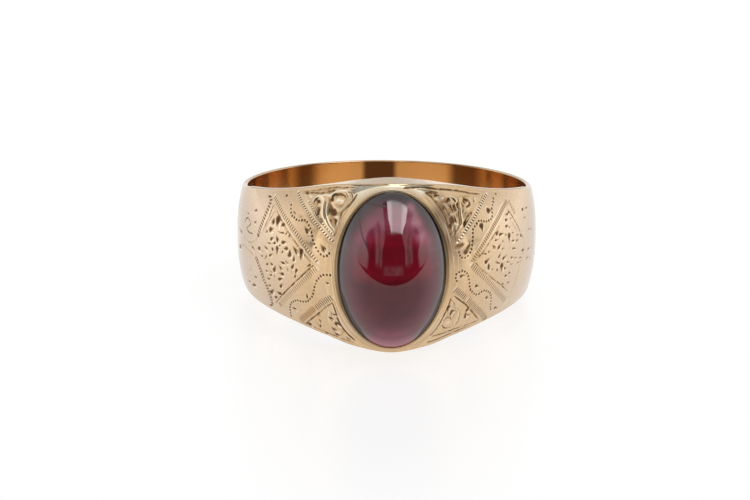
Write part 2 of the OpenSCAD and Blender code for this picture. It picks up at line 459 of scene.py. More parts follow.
def lozenge_lines():
    """The two lozenges' borders: bright ridges beside the ticked bands, and deep lines on their shaded
    sides."""
    return np.vstack([
        line([(-9.6, 3.25), (-9.3, 3.0), (-8.5, 2.45), (-7.7, 1.85), (-7.0, 1.35), (-6.1, 0.6),
              (-5.4, 0.05)], 0.15, 0.045, 0.85),
        ridge([(-9.75, 3.4), (-9.2, 3.1), (-8.3, 2.5), (-7.55, 1.95), (-6.8, 1.4), (-5.95, 0.7),
               (-5.25, 0.1)], 0.13, 0.035),
        line([(-5.35, -0.05), (-5.85, -0.5), (-6.4, -1.0), (-7.05, -1.55), (-7.75, -2.1), (-8.35, -2.55),
              (-9.05, -3.05), (-9.55, -3.4)], 0.19, 0.055, 0.95),
        ridge([(-5.3, -0.15), (-5.8, -0.63), (-6.35, -1.13), (-7.0, -1.68), (-7.7, -2.23), (-8.4, -2.75),
               (-9.1, -3.25)], 0.12, 0.03),
        line([(-9.7, 3.2), (-9.8, 2.7), (-9.9, 2.3), (-10.15, 1.8), (-10.45, 1.2)], 0.14, 0.03, 0.9),
        line([(-9.35, 2.95), (-9.55, 2.5), (-9.85, 2.0), (-10.15, 1.5)], 0.12, 0.025, 0.85),
        ridge([(-9.95, 3.2), (-10.0, 2.75), (-10.1, 2.35), (-10.35, 1.85), (-10.6, 1.25)], 0.11, 0.03, 0.5,
               0.75),
        line([(-11.75, 0.05), (-11.5, -0.15), (-11.05, -0.6), (-10.7, -1.05), (-10.4, -1.5), (-10.1, -2.1),
              (-9.85, -2.7), (-9.9, -3.35)], 0.17, 0.035, 0.75),
        line([(8.4, 2.1), (8.0, 1.8), (7.45, 1.4), (6.95, 1.0), (6.45, 0.55), (6.2, 0.35)], 0.14, 0.04,
              0.85),
        line([(8.05, 2.0), (7.6, 1.7), (7.2, 1.4), (6.55, 0.85), (5.85, 0.1)], 0.12, 0.035, 0.6),
        ridge([(9.7, 3.45), (9.0, 3.2), (8.3, 2.75), (7.65, 2.35), (7.2, 2.0), (6.75, 1.65), (6.3, 1.2),
               (5.75, 0.65)], 0.12, 0.03, 0.5, 0.75),
        ridge([(9.6, 3.05), (9.0, 2.7), (8.35, 2.28), (7.75, 1.86), (7.3, 1.53), (6.8, 1.1), (6.3, 0.62)],
               0.12, 0.03, 0.5, 0.75),
        line([(9.75, 2.9), (10.1, 2.5), (10.4, 2.05), (10.8, 1.55), (11.15, 1.05), (11.5, 0.65)], 0.17,
              0.045, 0.85),
        line([(9.8, 2.3), (10.15, 1.8), (10.6, 1.35)], 0.12, 0.025, 0.6),
        line([(5.9, 0.05), (6.35, -0.4), (6.9, -0.8), (7.45, -1.2), (8.1, -1.6), (8.85, -2.05),
              (9.6, -2.5)], 0.17, 0.05, 0.9),
        line([(11.6, 0.45), (11.6, -0.1), (11.25, -0.6), (10.9, -1.15), (10.8, -1.6), (10.6, -2.0),
              (10.45, -2.35), (10.35, -2.65)], 0.16, 0.03, 0.55),
    ])


# Short cuts across the bead row at the upper right
BEAD_TICKS = [
    ((5.9, 3.22), (5.75, 3.05)),
    ((5.5, 2.86), (5.36, 2.7)),
    ((5.15, 2.56), (5.02, 2.4)),
    ((4.8, 2.26), (4.68, 2.12)),
]


def border_lines():
    """The borders between the plain bands and the four corners: bead rows above, hatched bands below."""
    return np.vstack([
        # a wide faint streak beside the upper left bead row: a painted dark reflection, drawn as a stain
        line([(-6.9, 2.95), (-6.3, 2.72), (-5.6, 2.4), (-5.0, 2.1), (-4.4, 1.8), (-3.95, 1.6)], 0.62, 0.008,
              0.32),
        line([(-7.2, 3.76), (-6.55, 3.34), (-6.0, 3.0), (-5.55, 2.65), (-5.15, 2.38), (-4.65, 2.03),
              (-3.9, 1.6)], 0.14, 0.03, 0.4),
        ridge([(-7.3, 4.25), (-6.9, 3.98), (-6.3, 3.6), (-5.7, 3.18), (-5.2, 2.85), (-4.7, 2.48),
               (-4.2, 2.13)], 0.2, 0.03, 0.5, 0.5),
        line([(-6.75, 4.3), (-6.1, 3.95), (-5.4, 3.42), (-4.6, 2.77), (-3.85, 2.32)], 0.13, 0.045, 0.6),
        ridge([(-7.0, 4.3), (-6.6, 4.02), (-6.25, 3.8), (-5.5, 3.3)], 0.15, 0.08, 0.8),
        line([(7.5, 4.1), (6.9, 3.75), (6.3, 3.32), (5.85, 2.98), (5.35, 2.58), (4.95, 2.25), (4.6, 1.98)],
              0.14, 0.04, 0.75),
        ridge([(6.75, 3.65), (6.15, 3.3), (5.75, 3.0), (5.3, 2.6), (4.9, 2.3), (4.35, 1.9)], 0.3, 0.04, 0.8,
               0.15),
        *[line(ends, 0.1, 0.03, 0.9) for ends in BEAD_TICKS],
        line([(5.8, 3.1), (5.4, 2.8), (5.0, 2.45), (4.55, 2.15)], 0.13, 0.045, 0.8),
        line([(4.2, 1.38), (4.5, 1.4), (4.95, 1.42)], 0.42, 0.002, 1.1),
        line([(4.25, 1.5), (4.5, 1.32), (4.85, 1.5)], 0.16, 0.02, 0.8),
        line([(-3.95, -2.25), (-4.6, -2.85), (-5.2, -3.35), (-5.85, -3.8), (-6.65, -4.3)], 0.19, 0.06,
              0.95),
        line([(-4.85, -3.1), (-5.2, -3.42), (-5.45, -3.7)], 0.4, 0.01, 0.45),
        line([(-3.95, -1.75), (-4.5, -2.05), (-5.05, -2.45), (-5.6, -2.8)], 0.13, 0.03, 0.5),
        ridge([(-4.1, -2.25), (-4.8, -2.8), (-5.5, -3.35), (-6.3, -3.9), (-7.0, -4.35)], 0.12, 0.035),
        line([(4.25, -1.85), (4.75, -2.3), (5.3, -2.7), (5.9, -3.2), (6.55, -3.7), (7.15, -4.1)], 0.22,
              0.07, 1.0, 0.4),
        line([(4.2, -1.2), (4.75, -1.55), (5.5, -2.1), (6.2, -2.7)], 0.12, 0.025, 0.4),
    ])


def beside_edge(start, end, inset):
    """Points of a line that keeps a distance from the band's lower edge."""
    length = np.linspace(start, end, 7)
    return np.column_stack([length, inset - half_width(turn_at(length))])


def edge_lines():
    """Grooves along the band's two edges and round the foot of the collar."""
    return np.vstack([
        line([(-6.8, 4.36), (-5.9, 4.5), (-5.0, 4.64), (-4.2, 4.82)], 0.28, 0.012, 0.5),
        line([(-7.05, 4.38), (-6.1, 4.55), (-5.15, 4.75), (-3.9, 5.0), (-2.6, 5.12)], 0.13, 0.045, 0.85),
        line([(-7.05, 4.3), (-6.05, 4.4), (-5.05, 4.5), (-4.35, 4.7), (-3.4, 5.0)], 0.17, 0.05, 0.9),
        line([(0.8, 5.3), (2.0, 5.2), (2.85, 5.05), (4.05, 4.85), (5.3, 4.6), (6.35, 4.35), (7.25, 4.2)],
              0.18, 0.06, 1.0),
        line([(2.3, 4.85), (2.8, 4.8), (3.2, 4.75)], 0.18, 0.04, 0.8),
        line([(4.1, 4.45), (4.65, 4.35), (5.2, 4.3), (6.15, 4.2)], 0.14, 0.035, 0.6),
        line(beside_edge(-7.0, -2.6, 0.26), 0.16, 0.04, 0.85),
        line([(2.9, -4.65), (3.65, -4.6), (4.5, -4.5), (5.0, -4.45), (6.15, -4.33), (7.3, -4.2)], 0.16,
              0.045, 1.05),
        line(beside_edge(2.6, 6.4, 0.28), 0.16, 0.04, 1.1),
        line([(-3.95, -2.36), (-3.77, -2.95), (-3.6, -3.6), (-3.18, -4.32), (-2.5, -4.92)], 0.2, 0.06, 1.4),
        line([(4.0, -2.0), (3.9, -2.3), (3.72, -2.75), (3.5, -3.3), (3.3, -3.75), (3.05, -4.2),
              (2.7, -4.6)], 0.18, 0.055, 1.1),
        line([(2.3, 4.85), (2.75, 4.55), (3.15, 4.1), (3.5, 3.55), (3.7, 3.05), (3.8, 2.65), (3.9, 2.15)],
              0.19, 0.065, 1.0),
        line([(-2.4, 4.75), (-2.75, 4.3), (-3.05, 4.0), (-3.4, 3.65), (-3.47, 3.35)], 0.19, 0.065, 1.0),
        line([(-3.47, 3.35), (-3.55, 2.95), (-3.7, 2.5), (-3.85, 2.1)], 0.14, 0.04, 0.6),
    ])


def corner_scrolls():
    """Carved leaves, stems and beads in the four corners beside the stone, over sunk and darkened
    ground."""
    return np.vstack([
        line([(-5.75, 3.9), (-5.3, 3.6), (-5.1, 3.1)], 0.55, 0.06, 0.5),
        line([(-4.45, 4.3), (-4.15, 3.6), (-4.0, 3.0)], 0.8, 0.06, 0.55),
        line([(-3.9, 4.3), (-3.55, 4.3), (-3.2, 4.35)], 0.8, 0.05, 0.4),
        ridge([(-5.85, 3.95), (-5.75, 4.15), (-5.45, 4.3), (-5.05, 4.15), (-4.95, 3.85), (-4.9, 3.5),
               (-4.75, 3.1), (-4.4, 2.7), (-3.95, 2.3)], 0.27, 0.11, 0.5, 0.85),
        ridge([(-4.6, 3.95), (-4.6, 3.55), (-4.5, 3.2), (-4.2, 2.8), (-3.85, 2.5)], 0.2, 0.1, 0.5, 0.85),
        ridge([(-5.3, 4.32), (-4.9, 4.42), (-4.5, 4.42), (-4.2, 4.62), (-3.85, 4.8), (-3.1, 4.86),
               (-2.9, 4.6)], 0.24, 0.11, 0.5, 0.85),
        ridge([(-6.4, 4.2), (-6.1, 4.15)], 0.22, 0.06, 0.5, 0.85),
        ridge([(-3.8, 4.22), (-3.4, 4.24)], 0.5, 0.17, 0.9, 0.8),
        ridge([(-4.25, 4.05), (-3.9, 3.8), (-3.5, 3.76), (-3.2, 4.0), (-3.05, 4.35)], 0.2, 0.13, 0.8),
        ridge([(-3.78, 3.32), (-3.62, 3.32)], 0.36, 0.13, 0.9),
        line([(-4.35, 4.22), (-4.1, 4.48), (-3.65, 4.6), (-3.35, 4.58), (-3.15, 4.42)], 0.24, 0.1, 0.95),
        line([(-3.9, 4.02), (-3.58, 3.96), (-3.28, 4.08)], 0.14, 0.05, 0.7),
        line([(-3.0, 4.8), (-2.75, 4.7), (-2.75, 4.4)], 0.16, 0.05, 0.7),
        line([(-4.76, 3.95), (-4.76, 3.65), (-4.62, 3.2), (-4.32, 2.72), (-3.98, 2.5)], 0.14, 0.07, 0.95),
        line([(-3.55, 3.7), (-3.45, 3.4)], 0.13, 0.05, 0.8),
        picks([
            [-5.45, 3.97, 160, 0.3, 0.26, 1],
            [-5.2, 3.5, 120, 0.22, 0.18, 1],
            [-5.22, 3.22, -60, 0.25, 0.16, 0.9],
            [-4.1, 3.5, 180, 0.42, 0.4, 1],
            [-3.82, 3.05, -90, 0.35, 0.24, 1],
            [-4.32, 4.2, 200, 0.25, 0.24, 1],
            [-6.64, 4.3, 190, 0.25, 0.14, 1],
            [-4.15, 2.95, -60, 0.3, 0.14, 0.7],
            [-5.75, 3.75, 150, 0.3, 0.12, 0.5],
        ]),
        line([(3.2, 4.3), (4.0, 3.9), (4.3, 3.2), (4.1, 2.5)], 1.0, 0.03, 0.42),
        line([(5.1, 4.0), (5.3, 3.3), (5.0, 2.7)], 0.8, 0.008, 0.35),
        ridge([(2.95, 4.42), (3.3, 4.36), (3.65, 4.44)], 0.28, 0.13),
        ridge([(3.5, 4.12), (3.75, 3.98), (3.92, 3.72)], 0.2, 0.09),
        ridge([(4.3, 4.42), (4.6, 4.3), (4.75, 4.05)], 0.2, 0.11),
        ridge([(5.05, 4.3), (5.02, 3.98), (4.95, 3.7)], 0.2, 0.11),
        ridge([(6.58, 4.12), (6.42, 3.88)], 0.26, 0.1),
        ridge([(6.1, 4.1), (5.95, 3.85)], 0.2, 0.06),
        ridge([(5.15, 3.35), (5.3, 3.5), (5.65, 3.52)], 0.2, 0.11),
        ridge([(4.0, 3.42), (4.3, 3.36), (4.5, 3.46)], 0.24, 0.11),
        ridge([(3.85, 3.08), (4.0, 2.98)], 0.2, 0.09),
        ridge([(3.98, 2.9), (4.16, 2.7), (4.1, 2.4)], 0.17, 0.08),
        ridge([(4.42, 3.3), (4.5, 3.0), (4.5, 2.72), (4.35, 2.45), (4.02, 2.15)], 0.18, 0.1),
        ridge([(5.05, 3.6), (4.92, 3.25), (4.95, 2.8), (4.7, 2.45), (4.3, 2.12)], 0.22, 0.1),
        line([(4.72, 3.5), (4.72, 3.05), (4.72, 2.7), (4.42, 2.3), (4.0, 1.85)], 0.13, 0.07, 0.95),
        line([(5.3, 3.02), (5.5, 3.15), (5.75, 3.25), (5.86, 3.08)], 0.12, 0.045, 0.85),
        picks([
            [3.95, 4.2, 200, 0.3, 0.25, 1],
            [5.6, 4.0, 0, 0.35, 0.3, 1],
            [5.5, 4.05, 120, 0.25, 0.16, 0.9],
            [5.7, 3.7, 205, 0.45, 0.22, 1],
            [4.8, 3.75, -90, 0.42, 0.22, 1],
            [4.45, 3.72, -70, 0.35, 0.2, 0.9],
            [4.2, 3.0, -30, 0.35, 0.42, 1],
            [3.95, 2.68, -90, 0.35, 0.26, 1],
            [5.15, 2.72, 60, 0.32, 0.22, 0.9],
            [4.32, 2.3, -110, 0.3, 0.15, 1],
            [3.6, 3.75, -60, 0.4, 0.2, 0.9],
            [3.05, 4.6, 0, 0.2, 0.16, 0.9],
        ]),
        line([(-4.4, -4.5), (-3.9, -4.3), (-3.6, -4.55)], 0.5, 0.02, 0.25),
        ridge([(-3.78, -4.5), (-3.6, -4.5)], 0.3, 0.08, 0.9),
        ridge([(-4.3, -3.0), (-4.42, -3.6), (-4.35, -4.1)], 0.2, 0.05),
        line([(-4.1, -2.95), (-4.15, -3.45)], 0.1, 0.035, 0.75),
        line([(-4.0, -4.25), (-3.6, -4.25), (-3.35, -4.15)], 0.11, 0.03, 0.65),
        line([(-3.95, -4.72), (-3.7, -4.76), (-3.45, -4.58), (-3.35, -4.35)], 0.17, 0.05, 0.8),
        line([(-5.75, -4.0), (-5.55, -4.15), (-5.4, -4.3), (-5.22, -4.36)], 0.17, 0.045, 0.8),
        picks([
            [-4.2, -3.55, 150, 0.28, 0.22, 1],
            [-4.12, -3.62, -60, 0.32, 0.17, 1],
            [-3.8, -3.15, 180, 0.32, 0.17, 0.9],
            [-3.8, -3.85, 150, 0.38, 0.34, 1],
            [-3.8, -3.92, -30, 0.3, 0.22, 1],
            [-4.1, -4.35, 150, 0.3, 0.24, 1],
            [-3.98, -4.7, 150, 0.3, 0.26, 1],
            [-5.2, -3.9, 130, 0.28, 0.17, 0.9],
            [-5.32, -4.3, 60, 0.22, 0.16, 0.9],
            [-6.42, -4.36, 150, 0.32, 0.3, 1],
            [-4.9, -4.8, 180, 0.25, 0.16, 0.9],
            [-2.95, -4.9, 150, 0.3, 0.14, 0.8],
        ]),
        line([(3.8, -4.1), (4.1, -3.8), (4.1, -3.3), (4.1, -2.7)], 0.6, 0.02, 0.25),
        ridge([(3.93, -3.8), (4.09, -3.8)], 0.44, 0.14, 0.9),
        ridge([(4.78, -3.0), (4.84, -3.35), (4.77, -3.75), (4.65, -4.15)], 0.22, 0.09),
        line([(3.6, -3.9), (3.75, -4.15), (4.2, -4.25), (4.42, -4.18)], 0.18, 0.055, 0.9),
        line([(3.7, -3.5), (3.9, -3.4), (4.22, -3.55)], 0.14, 0.05, 0.85),
        line([(4.95, -3.5), (5.0, -3.9), (4.82, -4.15), (4.72, -4.38)], 0.14, 0.06, 1.0),
        line([(4.6, -3.0), (4.62, -3.35), (4.52, -3.8), (4.5, -4.1)], 0.12, 0.035, 0.6),
        line([(4.2, -2.3), (4.27, -2.6), (4.28, -2.9)], 0.22, 0.03, 0.5),
        line([(3.95, -2.0), (4.2, -2.25), (4.4, -2.6), (4.5, -3.05), (4.45, -3.4), (4.3, -3.7)], 0.12,
              0.035, 0.7),
        line([(3.9, -2.1), (4.0, -2.4), (4.0, -2.75), (3.9, -3.05), (3.75, -3.3)], 0.12, 0.035, 0.6),
        line([(4.6, -2.8), (4.9, -3.2), (5.0, -3.65), (4.8, -4.0), (4.75, -4.3)], 0.12, 0.035, 0.7),
        line([(3.62, -3.65), (3.75, -3.42), (3.95, -3.38), (4.2, -3.52), (4.32, -3.78)], 0.13, 0.04, 0.8),
        line([(5.6, -3.97), (5.8, -3.87), (6.1, -3.87)], 0.13, 0.025, 0.55),
        picks([
            [3.85, -2.65, -100, 0.38, 0.24, 1],
            [4.27, -3.0, 0, 0.28, 0.22, 1],
            [4.15, -3.2, -90, 0.28, 0.2, 1],
            [5.6, -3.08, 60, 0.28, 0.22, 1],
            [5.55, -3.5, 110, 0.42, 0.3, 1],
            [5.75, -3.55, 0, 0.3, 0.17, 0.9],
        ]),
    ])


def shoulder_lines():
    """Faint arcs beyond the lozenges, worn nearly away."""
    return np.vstack([
        line([(-12.9, 1.78), (-13.3, 1.6), (-13.55, 1.25)], 0.2, 0.03, 0.9),
        line([(-13.05, 1.7), (-12.5, 1.62), (-12.35, 1.4), (-12.8, 1.15), (-12.95, 0.98), (-12.5, 0.85),
              (-11.85, 0.9)], 0.2, 0.03, 0.95),
        line([(-13.95, -0.25), (-12.9, -0.3), (-12.0, -0.4), (-11.45, -0.65), (-11.1, -0.9)], 0.3, 0.025,
              0.5),
        line([(-12.8, -0.95), (-12.2, -0.75), (-11.85, -0.9), (-12.0, -1.3), (-12.55, -1.75),
              (-13.0, -1.7)], 0.2, 0.02, 0.45),
        line([(-13.6, 0.45), (-13.0, 0.25), (-12.1, 0.25), (-11.25, 0.6), (-10.95, 0.95)], 0.2, 0.02, 0.5),
        line([(12.2, 1.05), (12.9, 1.05), (13.8, 0.7)], 0.18, 0.025, 0.6),
        line([(12.0, -0.4), (12.8, -0.9), (13.6, -1.1)], 0.16, 0.02, 0.5),
    ])


def engraving():
    """All strokes of both shoulders."""
    parts = [picks(LEFT_FIELD, 0.9), picks(RIGHT_FIELD, 0.9), picks(LEAVES, 0.9)]
    parts += [dots(curve) for curve in DOT_CURVES]
    parts += [lozenge_lines(), border_lines(), edge_lines(), corner_scrolls(), shoulder_lines()]
    return np.vstack(parts)


def engrave(length, along, table):
    """Height, and stain with painted highlights, at places of the developed surface. Inside a stroke the
    distance from its middle line is taken in halves of the width there: a cut is a V that deepens with its
    width, a raised one is half round, and the deepest cut and the highest ridge hold where strokes cross. The
    stain is palest where a stroke is narrow. A narrow cut throws up a burr on both sides with a painted
    highlight on it, and a raised stroke rubs off what lies under it. Painted highlights have a stain below
    nothing."""
    order = np.argsort(length)
    sorted_length = length[order]
    cut, raised, stain_and_highlight, bright = np.zeros((4, len(length)))
    for row in table:
        start, end = row[START:END], row[END:START_WIDTH]
        widest = max(row[START_WIDTH], row[END_WIDTH])
        low, high = np.minimum(start, end) - widest, np.maximum(start, end) + widest
        near = order[np.searchsorted(sorted_length, low[0]) : np.searchsorted(sorted_length, high[0])]
        near = near[(along[near] > low[1]) & (along[near] < high[1])]
        if not near.size:
            continue
        way = end - start
        off = np.column_stack([length[near], along[near]]) - start
        share = np.clip(off @ way / max(way @ way, 1e-9), 0, 1)
        half = (row[START_WIDTH] + (row[END_WIDTH] - row[START_WIDTH]) * share) / 2
        away = np.hypot(*(off - share[:, None] * way).T) / half
        inside = np.clip(1 - away, 0, 1)
        full = half * 2 / widest
        if row[HEIGHT] < 0:
            depth = RELIEF * -row[HEIGHT]
            cut[near] = np.maximum(cut[near], depth * inside * full)
            burr = np.clip(1 - np.abs(away - BURR_PLACE) / BURR_WIDTH, 0, 1) * full * (widest < BURR_WIDEST)
            raised[near] = np.maximum(raised[near], BURR_HEIGHT * depth * burr)
            bright[near] = np.maximum(bright[near], BURR_HIGHLIGHT * min(row[STAIN_AND_HIGHLIGHT], 1) * burr)
            dark = row[STAIN_AND_HIGHLIGHT] * (0.7 * np.clip(2.6 * inside, 0, 1) + 0.4 * inside) * (0.45 + 0.55 * full)
            stain_and_highlight[near] = np.maximum(stain_and_highlight[near], dark)
        else:
            height = RIDGE_RELIEF * RELIEF * row[HEIGHT]
            raised[near] = np.maximum(raised[near], height * np.sqrt(1 - (1 - inside) ** 2))
            stain_and_highlight[near] *= 1 - 0.85 * np.clip(2.5 * inside, 0, 1)
            bright[near] = np.maximum(bright[near], -row[STAIN_AND_HIGHLIGHT] * inside)
    stain_and_highlight = np.minimum(stain_and_highlight, 1)
    return raised - cut, stain_and_highlight - bright * (1 - stain_and_highlight)


# How far in from its sides a hatched band comes to its full strength: its ticks and bright spaces, then its
# dark spaces
BAND_SOFT = 0.07
BAND_SOFT_DARK = 0.16
BAND_STEP = 0.4
# Columns of the hatched bands' table: the band's middle line, its width, the spacing of its ticks, how far
# a tick leans along the band for each millimetre across it, how dark the ticks are and how bright the painted
# highlight on what stands between them is, dark being below nothing. The last three are rows of beads.
HATCH_BANDS = [
    ([(-9.9, 3.68), (-9.5, 3.45), (-9.0, 3.15), (-8.05, 2.6), (-7.2, 2.05), (-6.45, 1.5), (-5.7, 0.8),
      (-5.0, 0.2)], 0.34, 0.2, 0.0, 0.85, 0.8),
    ([(-5.1, -0.2), (-5.65, -0.7), (-6.2, -1.25), (-6.75, -1.7), (-7.35, -2.2), (-8.05, -2.7),
      (-8.95, -3.35)], 0.45, 0.18, 0.0, 0.6, 0.5),
    ([(-10.2, 3.5), (-10.15, 3.1), (-10.3, 2.6), (-10.5, 2.05), (-10.75, 1.5), (-10.95, 1.0)], 0.4, 0.21,
      0.0, 1.0, -0.22),
    ([(-11.35, -0.55), (-10.95, -0.95), (-10.65, -1.4), (-10.4, -1.9), (-10.15, -2.35), (-10.0, -2.9),
      (-10.05, -3.45)], 0.36, 0.2, 0.0, 1.0, -0.25),
    ([(10.0, 3.4), (9.2, 3.05), (8.45, 2.6), (7.8, 2.2), (7.4, 1.85), (6.95, 1.5), (6.55, 1.1), (6.1, 0.7),
      (5.6, 0.1)], 0.38, 0.18, 0.0, 0.75, -0.25),
    ([(5.6, -0.05), (6.15, -0.6), (6.7, -1.05), (7.3, -1.5), (8.0, -2.1), (8.9, -2.7), (9.9, -3.3)], 0.48,
      0.18, 0.0, 0.65, 0.4),
    ([(10.2, 3.4), (10.3, 3.15), (10.45, 2.85), (10.55, 2.6)], 0.36, 0.2, 0.0, 0.6, -0.2),
    ([(-4.0, -1.9), (-4.55, -2.35), (-5.0, -2.75), (-5.55, -3.1)], 0.46, 0.17, -0.1, 0.95, 0.35),
    ([(-5.55, -3.1), (-6.15, -3.55), (-7.1, -4.15)], 0.6, 0.18, -0.1, 0.45, -0.42),
    ([(4.3, -1.4), (4.55, -1.65), (5.05, -2.1), (5.45, -2.4)], 0.46, 0.17, 0.1, 0.95, 0.35),
    ([(5.45, -2.4), (6.25, -3.05), (7.1, -3.6), (8.0, -4.2)], 0.48, 0.17, 0.1, 0.85, 0.3),
    ([(-7.6, 4.25), (-7.2, 3.97), (-6.55, 3.5), (-6.0, 3.15), (-5.55, 2.8), (-5.15, 2.55), (-4.65, 2.2),
      (-4.25, 1.95), (-3.9, 1.8)], 0.24, 0.195, 0.3, 1.0, 1.6),
    ([(-6.3, 3.85), (-5.9, 3.6), (-5.5, 3.3), (-5.0, 2.9), (-4.55, 2.55), (-4.1, 2.3), (-3.85, 2.2)], 0.2,
      0.19, 0.3, 0.8, 1.5),
    ([(7.95, 4.1), (7.4, 3.85), (6.7, 3.42), (6.15, 3.0), (5.65, 2.62), (5.2, 2.25), (4.8, 1.9),
      (4.45, 1.65)], 0.26, 0.215, -0.3, 1.0, 1.5),
]


def hatch(length, along, bands):
    """Count of ticks passed along a band's middle line, how much a place is ticked and how bright its painted
    highlight is between the ticks: nothing outside the band's width and ends, full inside."""
    phase, ticked, between = np.zeros((3, len(length)))
    place = np.column_stack([length, along])
    for middle, width, spacing, lean, strength, bright in bands:
        p = through(middle, BAND_STEP)
        best = np.full(len(length), width / 2)
        start_run = 0
        for start, end in zip(p[:-1], p[1:]):
            way = end - start
            reach = np.hypot(*way)
            off = place - start
            share = off @ way / reach**2
            across = (off[:, 0] * way[1] - off[:, 1] * way[0]) / reach
            away = np.hypot(across, reach * (share - np.clip(share, 0, 1)))
            near = away < best
            best[near] = away[near]
            phase[near] = ((start_run + np.clip(share, 0, 1) * reach + lean * across) / spacing)[near]
            start_run += reach
        inside = best < width / 2
        from_side = width / 2 - best[inside]
        ticked[inside] = strength * np.clip(from_side / BAND_SOFT, 0, 1)
        between[inside] = bright * np.clip(from_side / (BAND_SOFT if bright > 0 else BAND_SOFT_DARK), 0, 1)
    return phase, ticked, between


# Meshes


def numbered(grid, start=0):
    """Numbers of the points of a grid, row by row from start on."""
    rows, columns = grid.shape[:2]
    return start + np.arange(rows * columns).reshape(rows, columns)


def quads(index, ring):
    """Faces between neighbouring rows of a table of point numbers, round to the first column if it is a
    ring."""
    right = np.roll(index, -1, axis=1)
    if not ring:
        index, right = index[:, :-1], right[:, :-1]
    return np.stack([index[:-1], right[:-1], right[1:], index[1:]], -1).reshape(-1, 4)


def fan(ring, middle):
    """Faces from a ring of point numbers to one middle point."""
    return np.column_stack([ring, np.roll(ring, -1), np.full(len(ring), middle)])


def ovals(rows, bearing):
    """Grid of points on ovals: rows of an oval's depth and its half sizes round the finger and along it.
    Its points are the half sizes times the cosine and the sine of a bearing."""
    depth, half_round, half_along = np.array(rows).T[:, :, None]
    return np.stack([half_round * np.cos(bearing), -depth + 0 * bearing, half_along * np.sin(bearing)], -1)


def make_object(name, data):
    """An object at the origin that shows a mesh or a camera."""
    made = bpy.data.objects.new(name, data)
    bpy.context.scene.collection.objects.link(made)
    return made


def make_piece(name, skin, material):
    """A smooth mesh object from points in millimetres, arrays of faces and values at the points, which
    rides on the ring's one body."""
    points, faces, attributes = skin
    mesh = bpy.data.meshes.new(name)
    corners = np.concatenate([f.ravel() for f in faces])
    sizes = np.concatenate([np.full(len(f), f.shape[1]) for f in faces])
    mesh.vertices.add(len(points))
    mesh.vertices.foreach_set("co", at_rest(points).astype(np.float32).ravel())
    mesh.loops.add(len(corners))
    mesh.loops.foreach_set("vertex_index", corners.astype(np.int32))
    mesh.polygons.add(len(sizes))
    mesh.polygons.foreach_set("loop_start", (np.cumsum(sizes) - sizes).astype(np.int32))
    mesh.polygons.foreach_set("use_smooth", np.ones(len(sizes), bool))
    mesh.update(calc_edges=True)
    for label, values in attributes.items():
        layer = mesh.attributes.new(label, "FLOAT", "POINT")
        layer.data.foreach_set("value", values.astype(np.float32))
    mesh.validate()
    mesh.materials.append(material)
    piece = make_object(name, mesh)
    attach(piece, "root")
    return piece


def face_normals_at_points(points, faces):
    """Unit normals of points: the sum of their faces' normals, each face counted by its size."""
    total = np.zeros_like(points)
    for group in faces:
        a, b, c, last = (points[group[:, corner]] for corner in (0, 1, 2, -1))
        turned = np.cross(b - a, last - a) + np.cross(c - b, last - b)
        for corner in range(group.shape[1]):
            for axis in range(3):
                total[:, axis] += np.bincount(group[:, corner], turned[:, axis], len(points))
    return total / np.maximum(np.linalg.norm(total, axis=1, keepdims=True), 1e-12)


# Where the band's grid changes step, as lengths round its outline, and the number of steps to each stop.
# The patch of ovals takes the sheet's place in front of the first stop.
FRONT_REACH = 5.0
COLUMN_STOPS = ((FRONT_REACH, 12.4, 132), (12.4, 15.0, 26), (15.0, LENGTHS[-1], 30))
FRONT_STEPS = 126
SHEET_STEPS = 140
# The patch: number of layers, the power that draws them towards the lip, and the rounds that settle a
# point's turn
OVAL_LAYERS = 52
LAYER_POWER = 1.25
TURN_ROUNDS = 12
# Degrees of the rings on a rounded corner, and how far other rings of the flat edge and the finger hole
# stand from it
CORNER_STEPS = (30, 60, 90)
EDGE_INSET = 0.03
BORE_INSET = 0.04
# How much the rim's rings have of the finger side's finish, from the outer corner to half way down the
# finger hole
RIM_FINGER_SIDE = (0, 0, 0, 0, 0, 0.6, 0.6, 0.6, 0.6, 1, 1)
# The seat's rings from the lip down: depth, and half sizes round the finger and along it
SEAT_ROUND = STONE_ROUND + SEAT_GAP
SEAT_ALONG = STONE_ALONG + SEAT_GAP
SEAT_RINGS = (
    (LIP_DEPTH - 0.16, LIP_ROUND - 0.01, LIP_ALONG - 0.01),
    (GIRDLE_DEPTH + 0.1, SEAT_ROUND - 0.01, SEAT_ALONG - 0.01),
    (GIRDLE_DEPTH, SEAT_ROUND, SEAT_ALONG),
    (FLOOR_DEPTH + 0.15, SEAT_ROUND, SEAT_ALONG),
    (FLOOR_DEPTH, STONE_ROUND - 0.1, STONE_ALONG - 0.1),
    (FLOOR_DEPTH, 0.6 * STONE_ROUND, 0.6 * STONE_ALONG),
    (FLOOR_DEPTH, 0.25 * STONE_ROUND, 0.25 * STONE_ALONG),
)
# How much painted shade of the narrow gap round the stone lies on each of them
SEAT_GAP_SHADE = (0.5, 1, 1, 1, 1, 0.5, 0)
# A distance from the lip that is beyond the collar
FAR = 9
# How brown the collar is made, a value below nothing being a painted highlight: angle round the lip's oval
# in degrees from the right upwards, close to the lip, and on the slope
LIP_ANGLE, LIP_BROWN, SLOPE_BROWN = range(3)
COLLAR_TONES = np.array([
    [0, 0.4, 0.5],
    [14, 0.8, 1.0],
    [28, 1.2, 1.3],
    [40, 1.1, 1.1],
    [50, 0.6, 0.2],
    [62, 0.15, -0.9],
    [90, -0.6, -1.0],
    [120, 0.0, -0.9],
    [150, 0.35, 0.65],
    [180, 0.3, 0.25],
    [205, 0.8, 0.15],
    [220, 0.8, 0.1],
    [240, 0.6, 0.0],
    [270, 0.1, -0.2],
    [300, 0.1, -0.2],
    [330, 0.25, 0.0],
    [360, 0.4, 0.5],
])


